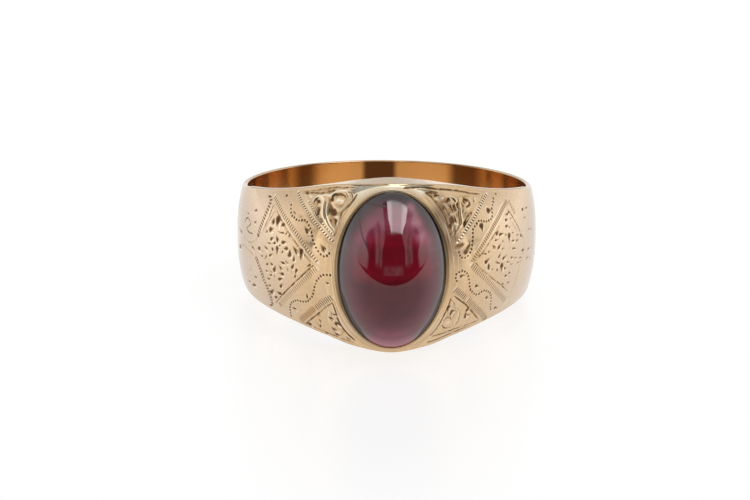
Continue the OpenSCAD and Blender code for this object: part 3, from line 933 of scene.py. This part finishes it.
def oval_patch(edge_turn, edge_along):
    """The head's patch round the stone: turns and heights of its layers from the outer edge in, and the
    bearing of its columns. A column is a straight line from the edge to the lip's oval, and the turn is
    where the outer radius reaches the place across, found by taking the arc sine over and over."""
    edge_across = outer_r(edge_turn, edge_along) * np.sin(edge_turn)
    bearing = np.arctan2(edge_along / edge_along.max(), edge_across / edge_across.max())
    lip_across, lip_along = LIP_ROUND * np.cos(bearing), LIP_ALONG * np.sin(bearing)
    share = (np.arange(OVAL_LAYERS - 1, -1, -1)[:, None] / OVAL_LAYERS) ** LAYER_POWER
    across = lip_across + (edge_across - lip_across) * share
    along = lip_along + (edge_along - lip_along) * share
    turn = np.arcsin(across / HEAD_R)
    for _ in range(TURN_ROUNDS):
        turn = np.arcsin(across / outer_r(turn, along))
    return turn, along, bearing


def rim_grid(turns, edge_along, edge_front):
    """The rim as rings over the same turns: a rounded corner, the flat edge, a rounded inner corner and the
    finger hole, then back out below. A ring's points lie on its radius at its height, and the outer ones
    are moved forward by as much as the collar moves the sheet's edge."""
    start_r = outer_r(turns, edge_along)
    half = half_width(turns)
    lift = -edge_front - start_r * np.cos(turns)
    bore = np.full(len(turns), BORE_R)
    rings = []
    for angle in np.radians(CORNER_STEPS):
        radius = start_r - EDGE_BEVEL * (1 - np.cos(angle))
        rings.append((radius, half - EDGE_BEVEL * (1 - np.sin(angle)), lift))
    rings.append((start_r - EDGE_BEVEL - EDGE_INSET, half, lift))
    rings.append((bore + INNER_ROUND + EDGE_INSET, half, 0))
    for angle in np.radians((0, *CORNER_STEPS)):
        radius = bore + INNER_ROUND * (1 - np.sin(angle))
        rings.append((radius, half - INNER_ROUND * (1 - np.cos(angle)), 0))
    rings.append((bore, half - INNER_ROUND - BORE_INSET, 0))
    rings.append((bore, half * 0.5, 0))
    below = [(r, -h, up) for r, h, up in rings[::-1]]
    rings += [(bore, 0 * half, 0), *below]
    return np.stack([np.column_stack([r * np.sin(turns), -r * np.cos(turns) - up, h]) for r, h, up in rings])


def collar_tone(points):
    """Tone of the collar at points of the outside, brown above nothing and a painted highlight below, and how
    far they are from the lip. The lip's tone and the slope's follow the angle round the lip's oval. The first
    gives way to the second within half a millimetre, and the second dies out by 1.6 mm."""
    _, out = collar_share(points[:, 0], points[:, 2])
    angle = np.degrees(np.arctan2(points[:, 2] / LIP_ALONG, points[:, 0] / LIP_ROUND)) % 360
    lip_tone = np.interp(angle, COLLAR_TONES[:, LIP_ANGLE], COLLAR_TONES[:, LIP_BROWN])
    slope_tone = np.interp(angle, COLLAR_TONES[:, LIP_ANGLE], COLLAR_TONES[:, SLOPE_BROWN])
    close = np.clip(1.3 - out / 0.35, 0, 1)
    tone = lip_tone * close + slope_tone * (1 - close) * np.clip((1.6 - out) / 0.6, 0, 1)
    in_front = points[:, 1] < 0
    return np.where(in_front, tone, 0), np.where(in_front, np.clip(out, 0, FAR), FAR)


def band_mesh():
    """The band as one closed skin of four grids that share their edges: the sheet round the finger, the
    head's patch of ovals round the stone, the rim with the finger hole, and the seat under the stone."""
    half = np.concatenate([np.linspace(a, b, n, endpoint=False) for a, b, n in COLUMN_STOPS])
    side_turn = turn_at(half)
    columns = np.concatenate([side_turn, [np.pi], 2 * np.pi - side_turn[::-1]])
    front = turn_at(np.linspace(-FRONT_REACH, FRONT_REACH, FRONT_STEPS + 1)[1:-1])
    front_edge = half_width(front) - EDGE_BEVEL
    sheet_turn = np.broadcast_to(columns, (SHEET_STEPS + 1, len(columns)))
    sheet_along = (half_width(sheet_turn) - EDGE_BEVEL) * np.linspace(-1, 1, SHEET_STEPS + 1)[:, None]
    turns = np.concatenate([sheet_turn.ravel(), front, front])
    alongs = np.concatenate([sheet_along.ravel(), front_edge, -front_edge])
    sheet = numbered(sheet_turn)
    front_top = sheet.size + np.arange(len(front))
    front_foot = front_top + len(front)

    # the patch fills what the sheet and the edges in front leave open
    outer = np.concatenate([sheet[:, 0], front_top[::-1], sheet[::-1, -1], front_foot])
    patch_turn, patch_along, bearing = oval_patch(turns[outer], alongs[outer])
    patch = numbered(patch_turn, len(turns))
    turns = np.concatenate([turns, patch_turn.ravel()])
    alongs = np.concatenate([alongs, patch_along.ravel()])
    outside = band_point(turns, alongs)
    outside_only = slice(len(outside))

    seat_grid = ovals(SEAT_RINGS, bearing)
    seat = numbered(seat_grid, len(outside))
    seat_middle = seat[-1, -1] + 1
    top = np.concatenate([sheet[-1], front_top])
    foot = np.concatenate([sheet[0], front_foot])
    rim_points = rim_grid(np.concatenate([columns, front]), alongs[top], outside[top, 1])
    rim = numbered(rim_points, seat_middle + 1)
    points = np.concatenate([
        outside, seat_grid.reshape(-1, 3), [[0, -FLOOR_DEPTH, 0]], rim_points.reshape(-1, 3)
    ])
    faces = [
        quads(sheet, False),
        quads(np.vstack([outer, patch]), True),
        quads(np.vstack([patch[-1], seat]), True),
        quads(np.vstack([top, rim, foot]), True),
        fan(seat[-1], seat_middle),
    ]

    def marked(places, values, elsewhere=0):
        marks = np.full(len(points), float(elsewhere))
        marks[places] = values
        return marks

    normals = face_normals_at_points(points, faces)[outside_only]
    length = length_at(np.where(turns > np.pi, turns - 2 * np.pi, turns))
    height, stain_and_highlight = engrave(length, alongs, engraving())
    tick_count, ticked, between = hatch(length, alongs, HATCH_BANDS)
    tone, from_lip = collar_tone(outside)
    finger_side = np.array((*RIM_FINGER_SIDE, 1, *RIM_FINGER_SIDE[::-1]))[:, None]
    points[outside_only] += normals * height[:, None]
    return points, faces, {
        # stain in the cuts, with painted highlights below nothing
        "tarnish_and_highlight": marked(outside_only, stain_and_highlight),
        "tick_count": marked(outside_only, tick_count),
        "ticked": marked(outside_only, ticked),
        "between": marked(outside_only, between),
        "finger_side": marked(rim, finger_side),
        # painted shade of the gap round the stone, in the seat, deepest on the stone's lower side
        "gap_shade": marked(seat, np.outer(SEAT_GAP_SHADE, np.clip(0.6 - np.sin(bearing), 0.15, 1))),
        "collar": marked(outside_only, tone),
        "from_lip": marked(outside_only, from_lip, FAR),
    }


# The stone's grid, and its flat underside's rings as shares of its size
STONE_COLUMNS = 256
DOME_ROWS = 90
UNDERSIDE = (0.3, 0.7, 0.97)
# The rings of the stone's base, with a small rounded corner at its foot: how far below the girdle and how
# much narrower
BASE_RINGS = ((BASE_H - 0.03, 0.215), (BASE_H - 0.1, 0.19), (0.8, 0.1), (0.1, 0.012))


def stone_mesh():
    """The stone as rings: the flat underside, the tapered base and the dome. The dome's height is 1 less a
    power of the share of the girdle's size, to another power. The first power is 2 at the very top, so that
    it stays round, and the dome's own lower down."""
    bearing = np.linspace(0, 2 * np.pi, STONE_COLUMNS, endpoint=False)
    share = np.sin(np.linspace(0, np.pi / 2, DOME_ROWS)[1:])[::-1]
    fullness = share**2 * ((share**2 + 0.05) / 1.05) ** (DOME_ROUND / 2 - 1)
    height = DOME_H * np.clip(1 - fullness, 0, 1) ** (1 / DOME_SPRING)
    under_round, under_along = STONE_ROUND - BASE_TAPER, STONE_ALONG - BASE_TAPER
    rings = [(GIRDLE_DEPTH - BASE_H, under_round * size, under_along * size) for size in UNDERSIDE]
    rings += [(GIRDLE_DEPTH - down, STONE_ROUND - taper, STONE_ALONG - taper) for down, taper in BASE_RINGS]
    rings += [(GIRDLE_DEPTH + up, STONE_ROUND * size, STONE_ALONG * size) for size, up in zip(share, height)]
    grid = ovals(rings, bearing)
    index = numbered(grid)
    ends = np.array([[0, -(GIRDLE_DEPTH - BASE_H), 0], [0, -(GIRDLE_DEPTH + DOME_H), 0]])
    points = np.concatenate([grid.reshape(-1, 3), ends])
    faces = [quads(index, True), fan(index[0][::-1], index.size), fan(index[-1], index.size + 1)]
    return points, faces, {"across": points[:, 0] / STONE_ROUND, "along": points[:, 2] / STONE_ALONG}


# Materials


class Value:
    """A socket's value in a node tree. A sum, product or power of these adds the Math nodes that work it
    out."""

    def __init__(self, tree, socket=None):
        self.tree = tree
        self.socket = socket

    def node(self, kind, settings=(), inputs=(), output=0):
        """Adds a node, gives it its settings, then the values or links of its sockets, and returns one
        output."""
        made = self.tree.nodes.new(kind)
        for name, setting in dict(settings).items():
            setattr(made, name, setting)
        for key, value in dict(inputs).items():
            if isinstance(value, Value):
                self.tree.links.new(value.socket, made.inputs[key])
            else:
                made.inputs[key].default_value = value
        return Value(self.tree, made.outputs[output] if made.outputs else None)

    def math(self, operation, *terms, **settings):
        return self.node("ShaderNodeMath", {"operation": operation, **settings}, enumerate(terms))

    def __add__(self, other):
        return self.math("ADD", self, other)

    def __sub__(self, other):
        return self.math("SUBTRACT", self, other)

    def __rsub__(self, other):
        return self.math("SUBTRACT", other, self)

    def __mul__(self, other):
        return self.math("MULTIPLY", self, other)

    def __pow__(self, other):
        return self.math("POWER", self, other)

    def __neg__(self):
        return self.math("MULTIPLY", self, -1)

    def __abs__(self):
        return self.math("ABSOLUTE", self)

    __radd__ = __add__
    __rmul__ = __mul__


def smooth_step(value, low, high):
    """0 below low, 1 above high and a smooth rise between."""
    inputs = {"Value": value, "From Min": low, "From Max": high}
    return value.node("ShaderNodeMapRange", {"interpolation_type": "SMOOTHSTEP"}, inputs)


def smooth_fall(value, low, high):
    """1 below low, 0 above high and a smooth fall between."""
    return 1 - smooth_step(value, low, high)


def within(value, low, full, fall, high):
    """0 below low and above high, 1 from full to fall and smooth between."""
    return smooth_step(value, low, full) * smooth_fall(value, fall, high)


def greatest(first, *others):
    """The greatest of several values."""
    for other in others:
        first = first.math("MAXIMUM", first, other)
    return first


def noise(place, scale, detail, roughness):
    """Soft noise between 0 and 1 at a place."""
    inputs = {"Vector": place, "Scale": scale, "Detail": detail, "Roughness": roughness}
    return place.node("ShaderNodeTexNoise", {}, inputs)


def drawn_noise(place, scale, detail=2, roughness=0.5, turn=(0, 0, 0)):
    """Noise drawn out by a scale for each axis, after a turn."""
    drawn = place.node("ShaderNodeMapping", {}, {"Vector": place, "Rotation": turn, "Scale": scale})
    return noise(drawn, 1, detail, roughness)


def mesh_values(tree, *names):
    """The numbers that a mesh holds at its points under these names."""
    return [tree.node("ShaderNodeAttribute", {"attribute_name": name}, output=2) for name in names]


def coordinate(place, axis):
    """One of the three coordinates of a place."""
    return place.node("ShaderNodeSeparateXYZ", {}, {0: place}, axis)


def blend_color(factor, first, second):
    """Colour that goes from the first to the second by a factor."""
    return factor.node("ShaderNodeMix", {"data_type": "RGBA"}, {0: factor, 6: first, 7: second}, 2)


def shade_color(color, value):
    """Colour times a value that is the same for red, green and blue."""
    gray = value.node("ShaderNodeCombineColor", {}, {0: value, 1: value, 2: value})
    settings = {"data_type": "RGBA", "blend_type": "MULTIPLY"}
    return color.node("ShaderNodeMix", settings, {0: 1, 6: color, 7: gray}, 2)


def bumped(height, distance):
    """Normal of a surface roughened by a height."""
    return height.node("ShaderNodeBump", {}, {"Strength": 0.25, "Distance": distance, "Height": height})


def new_material(name):
    """An empty material and a value to build its nodes from."""
    material = bpy.data.materials.new(name)
    material.use_nodes = True
    material.node_tree.nodes.clear()
    return material, Value(material.node_tree)


def add_surface(tree, inputs):
    """Ends a material in one Principled shader with these inputs."""
    shader = tree.node("ShaderNodeBsdfPrincipled", {}, inputs)
    tree.node("ShaderNodeOutputMaterial", {}, {"Surface": shader})


# Colours as red, green, blue and a last 1: the gold's finishes with its painted highlight and painted
# shades, then the stone's
GOLD_CLEAN = (0.655, 0.505, 0.365, 1)
GOLD_WARM = (0.68, 0.472, 0.266, 1)
GOLD_PAINTED_HIGHLIGHT = (0.98, 0.88, 0.68, 1)
GOLD_BROWN = (0.14, 0.078, 0.036, 1)
GOLD_FINGER_SIDE = (0.76, 0.51, 0.27, 1)
FINGER_SHADE = (0.1, 0.045, 0.02, 1)
GOLD_AMBER = (0.43, 0.255, 0.115, 1)
GOLD_SIDE = (0.475, 0.355, 0.255, 1)
GOLD_STAIN = (0.14, 0.07, 0.032, 1)
# painted shade of the gap round the stone, also the dark of the stone's flaw
GAP_SHADE_AND_CRACK = (0.04, 0.022, 0.015, 1)
STONE_BODY = (0.1, 0.002, 0.008, 1)
STONE_HEART = (0.19, 0.002, 0.012, 1)
STONE_RING = (0.27, 0.04, 0.08, 1)
STONE_EDGE = (0.012, 0.003, 0.005, 1)
STONE_FOOT = (0.13, 0.055, 0.06, 1)
STONE_PALE_STREAK = (0.42, 0.15, 0.2, 1)


def gold_material():
    """Old yellow gold: soft wear and fine scratches over the polish, brown tarnish in the cuts, painted
    highlights, and painted shade in the gap round the stone.
    """
    material, tree = new_material("worn_gold")
    place = tree.node("ShaderNodeTexCoord", output=3)
    tarnish_and_highlight, count, ticked, between, finger_side, gap_shade, collar, from_lip = mesh_values(
        tree, "tarnish_and_highlight", "tick_count", "ticked", "between", "finger_side", "gap_shade", "collar", "from_lip"
    )
    cloud = noise(place, 420, 3, 0.55)
    patchy = smooth_step(cloud, 0.35, 0.65)
    grain = noise(place, 5200, 3, 0.6)
    blotch = noise(place, 3000, 2, 0.5)
    scratch = smooth_step(drawn_noise(place, (900, 9000, 2600), turn=(0.5, 0.2, 0.3)), 0.6, 0.72)
    scratch = scratch + smooth_step(drawn_noise(place, (8000, 1100, 2400), turn=(-0.7, 0.4, 1.1)), 0.62, 0.74)

    # streaks on the collar that follow the lip
    along_lip = place.node("ShaderNodeVectorMath", {"operation": "SCALE"}, {0: place, "Scale": 260})
    across_lip = from_lip.node("ShaderNodeCombineXYZ", {}, {0: from_lip * 11, 1: from_lip * 7})
    lip_place = place.node("ShaderNodeVectorMath", {"operation": "ADD"}, {0: along_lip, 1: across_lip})
    streak = noise(lip_place, 1, 3, 0.6)
    on_collar = smooth_fall(from_lip, 0.6, 1.3)
    # brown on the collar by its tone, in streaks that follow the lip
    collar_brown = smooth_step(collar, 0, 1.2) * (0.55 + 0.45 * smooth_step(streak, 0.38, 0.58))

    # painted highlights on ridges, burrs, facets, hatch spaces, the lip and its streaks, and dark ticks and
    # cuts
    tick_wave = count.math("PINGPONG", count, 0.5)
    tick = smooth_step(tick_wave, 0.18, 0.34) * ticked
    light = greatest(
        smooth_fall(tick_wave, 0.1, 0.24) * between * 0.6,
        0,
        smooth_step(-tarnish_and_highlight, 0.05, 0.9),
        smooth_step(-collar, 0, 1),
        0.4 * on_collar * smooth_step(streak, 0.56, 0.66),
    )
    half_dark = greatest(tarnish_and_highlight, 0)
    half_dark = half_dark * (1 - half_dark) * 4
    dark = tarnish_and_highlight * (0.7 + 0.6 * grain) + (grain - 0.5) * 0.15 + half_dark * (blotch - 0.5) * 1.2
    dark = greatest(smooth_step(dark, 0, 1), tick * 0.85, -between)

    # dark reflections on the far inside of the hoop, by millimetres across and back
    x, y = (coordinate(place, axis) * MM_PER_M for axis in (0, 1))
    shaded = within(x, -6.6, -5.5, -5.2, -4.1) + 1.12 * within(x, -1.6, -1.1, 0.6, 1.1)
    shaded = (shaded + within(x, 4.2, 5, 6, 7.2)) * finger_side * smooth_step(y, 4, 6)

    near_stone = smooth_fall(abs(x), 4.5, 8.5)
    color = blend_color(near_stone * 0.75 + patchy * 0.25 + 0.3 * on_collar, GOLD_CLEAN, GOLD_WARM)
    color = blend_color(smooth_step(abs(x), 8.6, 10.2), color, GOLD_SIDE)
    color = shade_color(color, 0.84 + 0.32 * grain + 0.35 * on_collar * (smooth_step(streak, 0.3, 0.6) - 0.6))
    color = blend_color(collar_brown, color, GOLD_BROWN)
    # the painted highlights
    color = blend_color(light, color, GOLD_PAINTED_HIGHLIGHT)
    color = blend_color(finger_side, color, GOLD_FINGER_SIDE)
    color = blend_color(shaded * 0.85, color, FINGER_SHADE)
    color = blend_color(smooth_step(dark, 0, 0.6), color, GOLD_AMBER)
    color = blend_color(smooth_step(dark, 0.35, 1), color, GOLD_STAIN)
    # painted shade in the gap round the stone; it also takes away the metal and the gloss there
    color = blend_color(gap_shade, color, GAP_SHADE_AND_CRACK)
    height = cloud * 0.55 + grain * 0.07 - scratch * 0.04 - tick * 0.8 + on_collar * streak * 0.15
    add_surface(tree, {
        "Base Color": color,
        "Metallic": 1 - 0.9 * gap_shade,
        "Roughness": 0.12 + 0.06 * patchy + 0.05 * scratch + 0.25 * dark + 0.4 * gap_shade + 0.2 * on_collar,
        "Normal": bumped(height, 0.00006),
    })
    return material


# Lines on the stone's plan, in shares of its girdle's half sizes: the flaw, and the pale streak on its right
FLAW_LINES = (
    ((-0.62, 0.72), (-0.5, 0.84)),
    ((-0.5, 0.84), (-0.14, 0.83)),
    ((-0.62, 0.72), (-0.55, 0.5)),
    ((-0.55, 0.5), (-0.47, 0.38)),
)
PALE_STREAK_LINES = (((0.31, 0.77), (0.48, 0.52)),)


def distance(across, along):
    """Root of the sum of two squares."""
    return (across * across + along * along) ** 0.5


def from_lines(across, along, lines):
    """Distance from the nearest of some straight lines, each taken from the nearest point between its
    ends."""
    nearest = None
    for start, end in lines:
        way = (end[0] - start[0], end[1] - start[1])
        square = way[0] ** 2 + way[1] ** 2
        share = (across - start[0]) * (way[0] / square) + (along - start[1]) * (way[1] / square)
        share = share.math("ADD", share, 0, use_clamp=True)
        away = distance(across - start[0] - share * way[0], along - start[1] - share * way[1])
        nearest = away if nearest is None else nearest.math("MINIMUM", nearest, away)
    return nearest


def garnet_material():
    """Dark red stone. Its glow follows the girdle as a pink ring, is deep red in the middle and duller below,
    and dies out towards the edge, where painted shade of the gap round the stone shows; a faint pale streak
    and one flaw lie in it."""
    material, tree = new_material("dark_red_stone")
    place = tree.node("ShaderNodeTexCoord", output=3)
    across, along = mesh_values(tree, "across", "along")
    size = distance(across, along)
    side = abs(across)
    cloud = noise(place, 700, 3, 0.6)
    bands = drawn_noise(place, (120, 120, 1500))

    # the glow
    foot = smooth_step(-along, 0.6, 0.85) * smooth_fall(side, 0.2, 0.5)
    ring = within(size, 0.48, 0.7, 0.73, 0.87) * (0.12 + 0.7 * smooth_step(along, 0.2, 0.5) + 0.9 * foot)
    glow = smooth_step(-along, 0.7, 0.86) * smooth_fall(side, 0.25, 0.6) * smooth_fall(size, 0.965, 0.99)
    ring = greatest(ring, glow * 0.95)
    heart = smooth_step(along, -0.12, 0.06) * smooth_fall(size, 0.62, 0.8)
    outer = blend_color(smooth_step(-along, 0.1, 0.9), STONE_EDGE, STONE_FOOT)
    color = blend_color(smooth_step(size, 0.8, 0.95), STONE_BODY, outer)
    color = blend_color(heart * 0.9, color, STONE_HEART)
    color = blend_color(ring, color, STONE_RING)

    # the pale streak, the flaw and painted shade at the edge
    streaked = smooth_fall(from_lines(across, along, PALE_STREAK_LINES), 0.03, 0.14)
    streaked = streaked * (0.3 + 0.7 * smooth_step(bands, 0.3, 0.6))
    cracked = smooth_fall(from_lines(across, along, FLAW_LINES), 0.006, 0.02)
    # painted shade at the stone's edge, wider low on both sides
    below = smooth_step(side, 0.3, 0.6) * smooth_step(-along, 0, 0.4)
    rim = smooth_step(size + 0.1 * below, 0.986, 0.998)
    color = blend_color(0.6 * streaked, color, STONE_PALE_STREAK)
    color = blend_color(0.9 * cracked, color, GAP_SHADE_AND_CRACK)
    color = blend_color(rim, color, GAP_SHADE_AND_CRACK)
    color = shade_color(color, 0.3 + 0.75 * cloud + 0.65 * bands)

    # the polish, which is dull low on both sides
    low_side = smooth_step(side, 0.28, 0.42) * smooth_fall(along, 0.15, 0.4)
    polish = 0.8 * smooth_step(along, -0.15, 0.3) * (1 - 0.85 * smooth_step(side, 0.45, 0.75))
    polish = polish * (1 - 0.6 * low_side) * (1 - rim) * (1 - 0.8 * cracked)
    add_surface(tree, {
        "Base Color": color,
        "Roughness": 0.02 + 0.03 * cloud + 0.5 * rim + 0.3 * cracked,
        "IOR": 1.54,
        "Coat Weight": polish,
        "Coat Roughness": 0.02,
        "Normal": bumped(noise(place, 260, 1, 0.4) + 0.035 * noise(place, 1500, 3, 0.6), 0.0001),
    })
    return material


def floor_material():
    """White studio table, a little glossy."""
    material, tree = new_material("studio_white")
    add_surface(tree, {
        "Base Color": (0.13, 0.13, 0.13, 1),
        "Roughness": 0.3,
        "IOR": 1.5,
        "Emission Color": (1, 1, 1, 1),
        "Emission Strength": 0.8,
    })
    return material


def card_material():
    """Dull black card."""
    material, tree = new_material("card_black")
    add_surface(tree, {"Base Color": (0.03, 0.03, 0.03, 1), "Roughness": 0.8})
    return material


# The studio, in metres: how far the floor reaches each way, and where the dark card ends in front of the
# ring and how high it lies
FLOOR_REACH = 3
CARD_END = -0.043
CARD_LEVEL = 0.0002


def make_plate(name, end, level, material):
    """A level rectangle that reaches as far as the floor on three sides and to its own end at the back."""
    low, high = -FLOOR_REACH, FLOOR_REACH
    places = ((low, low), (high, low), (high, end), (low, end))
    mesh = bpy.data.meshes.new(name)
    mesh.from_pydata([(x, y, level) for x, y in places], [], [(0, 1, 2, 3)])
    mesh.materials.append(material)
    return make_object(name, mesh)


def set_floor():
    """The table under the ring."""
    floor = make_plate("studio_floor", FLOOR_REACH, 0, floor_material())


def lay_card():
    """A dark card flat on the table in front, which only the reflections see."""
    card = make_plate("dark_card", CARD_END, CARD_LEVEL, card_material())
    card.visible_camera = False


# Brightness of the tent, of its gap and of the strip overhead. The gap's middle is a bearing in degrees,
# and the strip's and the veils' how far a direction points to the right.
TENT = 1.0
SHADE = 0.05
SOFTBOX = 4.5
GAP_MIDDLE = 2.5
STRIP_MIDDLE = 0.18
VEIL_MIDDLE = 0.045
DEGREES = 180 / math.pi


def set_light():
    """A white tent with a dark gap on the side that the stone faces, paler folds in the gap, and a bright
    strip overhead. Directions are taken in degrees as the bearing from the front, the rise, and the rise
    over the front along the middle plane."""
    world = bpy.data.worlds.new("studio_light")
    bpy.context.scene.world = world
    world.use_nodes = True
    world.node_tree.nodes.clear()
    tree = Value(world.node_tree)
    way = tree.node("ShaderNodeTexCoord", output=0)
    x, y, z = (coordinate(way, axis) for axis in range(3))
    bearing = abs(x.math("ARCTAN2", x, -y) * DEGREES - GAP_MIDDLE)
    rise = x.math("ARCSINE", z) * DEGREES
    over = x.math("ARCTAN2", z, -y) * DEGREES
    from_strip = abs(x - STRIP_MIDDLE)
    from_veils = abs(x - VEIL_MIDDLE)

    # the gap, narrower low down and wider half way up
    side = bearing + 10 * smooth_fall(rise, 10, 28) - 8 * within(rise, 14, 24, 32, 46)
    gap = smooth_fall(side, 75, 83) * smooth_fall(rise, 52, 58)

    # the strip, narrower at its front end and dimmer along its middle, and the darker tent beside it
    taper = 0.1 * smooth_fall(over, 58, 80)
    strip = smooth_fall(from_strip + taper, 0.34, 0.38) * within(over, 55, 60, 98, 106)
    strip = strip * (0.6 + 0.4 * smooth_step(from_strip, 0.14, 0.26))
    beside = smooth_fall(from_strip, 0.5, 0.54) * within(over, 54, 58, 98, 106)

    # paler cloth in the gap: two veils and the front, in folds
    veil = smooth_step(from_veils + 0.12 * smooth_step(rise, 28, 50), 0.48, 0.52)
    veil = veil * smooth_fall(from_veils, 0.7, 0.8) * smooth_step(rise, 4, 14)
    front = smooth_fall(from_veils, 0.25, 0.5) * smooth_fall(rise, 5, 15)
    folds = noise(tree.node("ShaderNodeCombineXYZ", {}, {0: x * 8, 2: z * 4}), 1, 2, 0.5)
    shade = SHADE + (0.6 * veil + 0.5 * front) * (0.3 + 0.7 * smooth_step(folds, 0.3, 0.65))

    # the tent, darker at the back and brighter low down at the sides
    level = within(bearing, 88, 100, 125, 150) * smooth_fall(rise, 0, 26)
    behind = 1 - 0.3 * smooth_step(bearing, 95, 140) + 0.4 * level
    light = TENT * behind * (1 - gap) * (1 - beside * 0.85) + shade * gap + SOFTBOX * strip

    # the camera itself sees plain white
    seen = tree.node("ShaderNodeLightPath", output=0)
    light = light * (1 - seen) + seen
    background = tree.node("ShaderNodeBackground", {}, {"Color": (1, 1, 1, 1), "Strength": light})
    tree.node("ShaderNodeOutputWorld", {}, {"Surface": background})


# The camera, as fitted to the photograph of 750 by 500 pixels: pixels to a millimetre at the ring's middle,
# its distance, its height over the ring's middle plane, its bearing, its roll and where the ring's middle
# appears
PIXELS = (750, 500)
SCALE = 15.004
DISTANCE = 300
HEIGHT_ANGLE = math.radians(12.4)
BEARING = math.radians(1.75)
ROLL = math.radians(0.45)
RING_MIDDLE = (386.5, 230.3)
SENSOR = 36
NEAREST = 0.01
FARTHEST = 20


def set_camera():
    """Camera at its distance from the ring's middle, turned with the ring as it leans back."""
    rise, turn = HEIGHT_ANGLE, BEARING
    right = np.array([math.cos(turn), -math.sin(turn), 0])
    ahead = np.array([math.sin(turn) * math.cos(rise), math.cos(turn) * math.cos(rise), -math.sin(rise)])
    up = np.array([math.sin(turn) * math.sin(rise), math.cos(turn) * math.sin(rise), math.cos(rise)])
    side = right * math.cos(ROLL) + up * math.sin(ROLL)
    top = up * math.cos(ROLL) - right * math.sin(ROLL)
    middle = at_rest(np.zeros(3))
    axes = [at_rest(MM_PER_M * v) - middle for v in (side, top, -ahead)]
    place = at_rest(-DISTANCE * ahead)
    data = bpy.data.cameras.new("camera")
    data.sensor_width = SENSOR
    data.lens = SCALE * DISTANCE * SENSOR / PIXELS[0]
    data.shift_x = -(RING_MIDDLE[0] - PIXELS[0] / 2) / PIXELS[0]
    data.shift_y = (RING_MIDDLE[1] - PIXELS[1] / 2) / PIXELS[0]
    data.clip_start = NEAREST
    data.clip_end = FARTHEST
    camera = make_object("camera", data)
    matrix = Matrix.Identity(4)
    for column, axis in enumerate(axes):
        matrix.col[column] = (*axis, 0)
    matrix.col[3] = (*place, 1)
    camera.matrix_world = matrix
    bpy.context.scene.camera = camera


set_camera()
set_light()
set_floor()
lay_card()

band = make_piece("engraved_band", band_mesh(), gold_material())
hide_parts("band")

stone = make_piece("garnet_dome", stone_mesh(), garnet_material())
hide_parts("cabochon")

scene = bpy.context.scene
scene.view_settings.view_transform = "Standard"
scene.cycles.glossy_bounces = 8
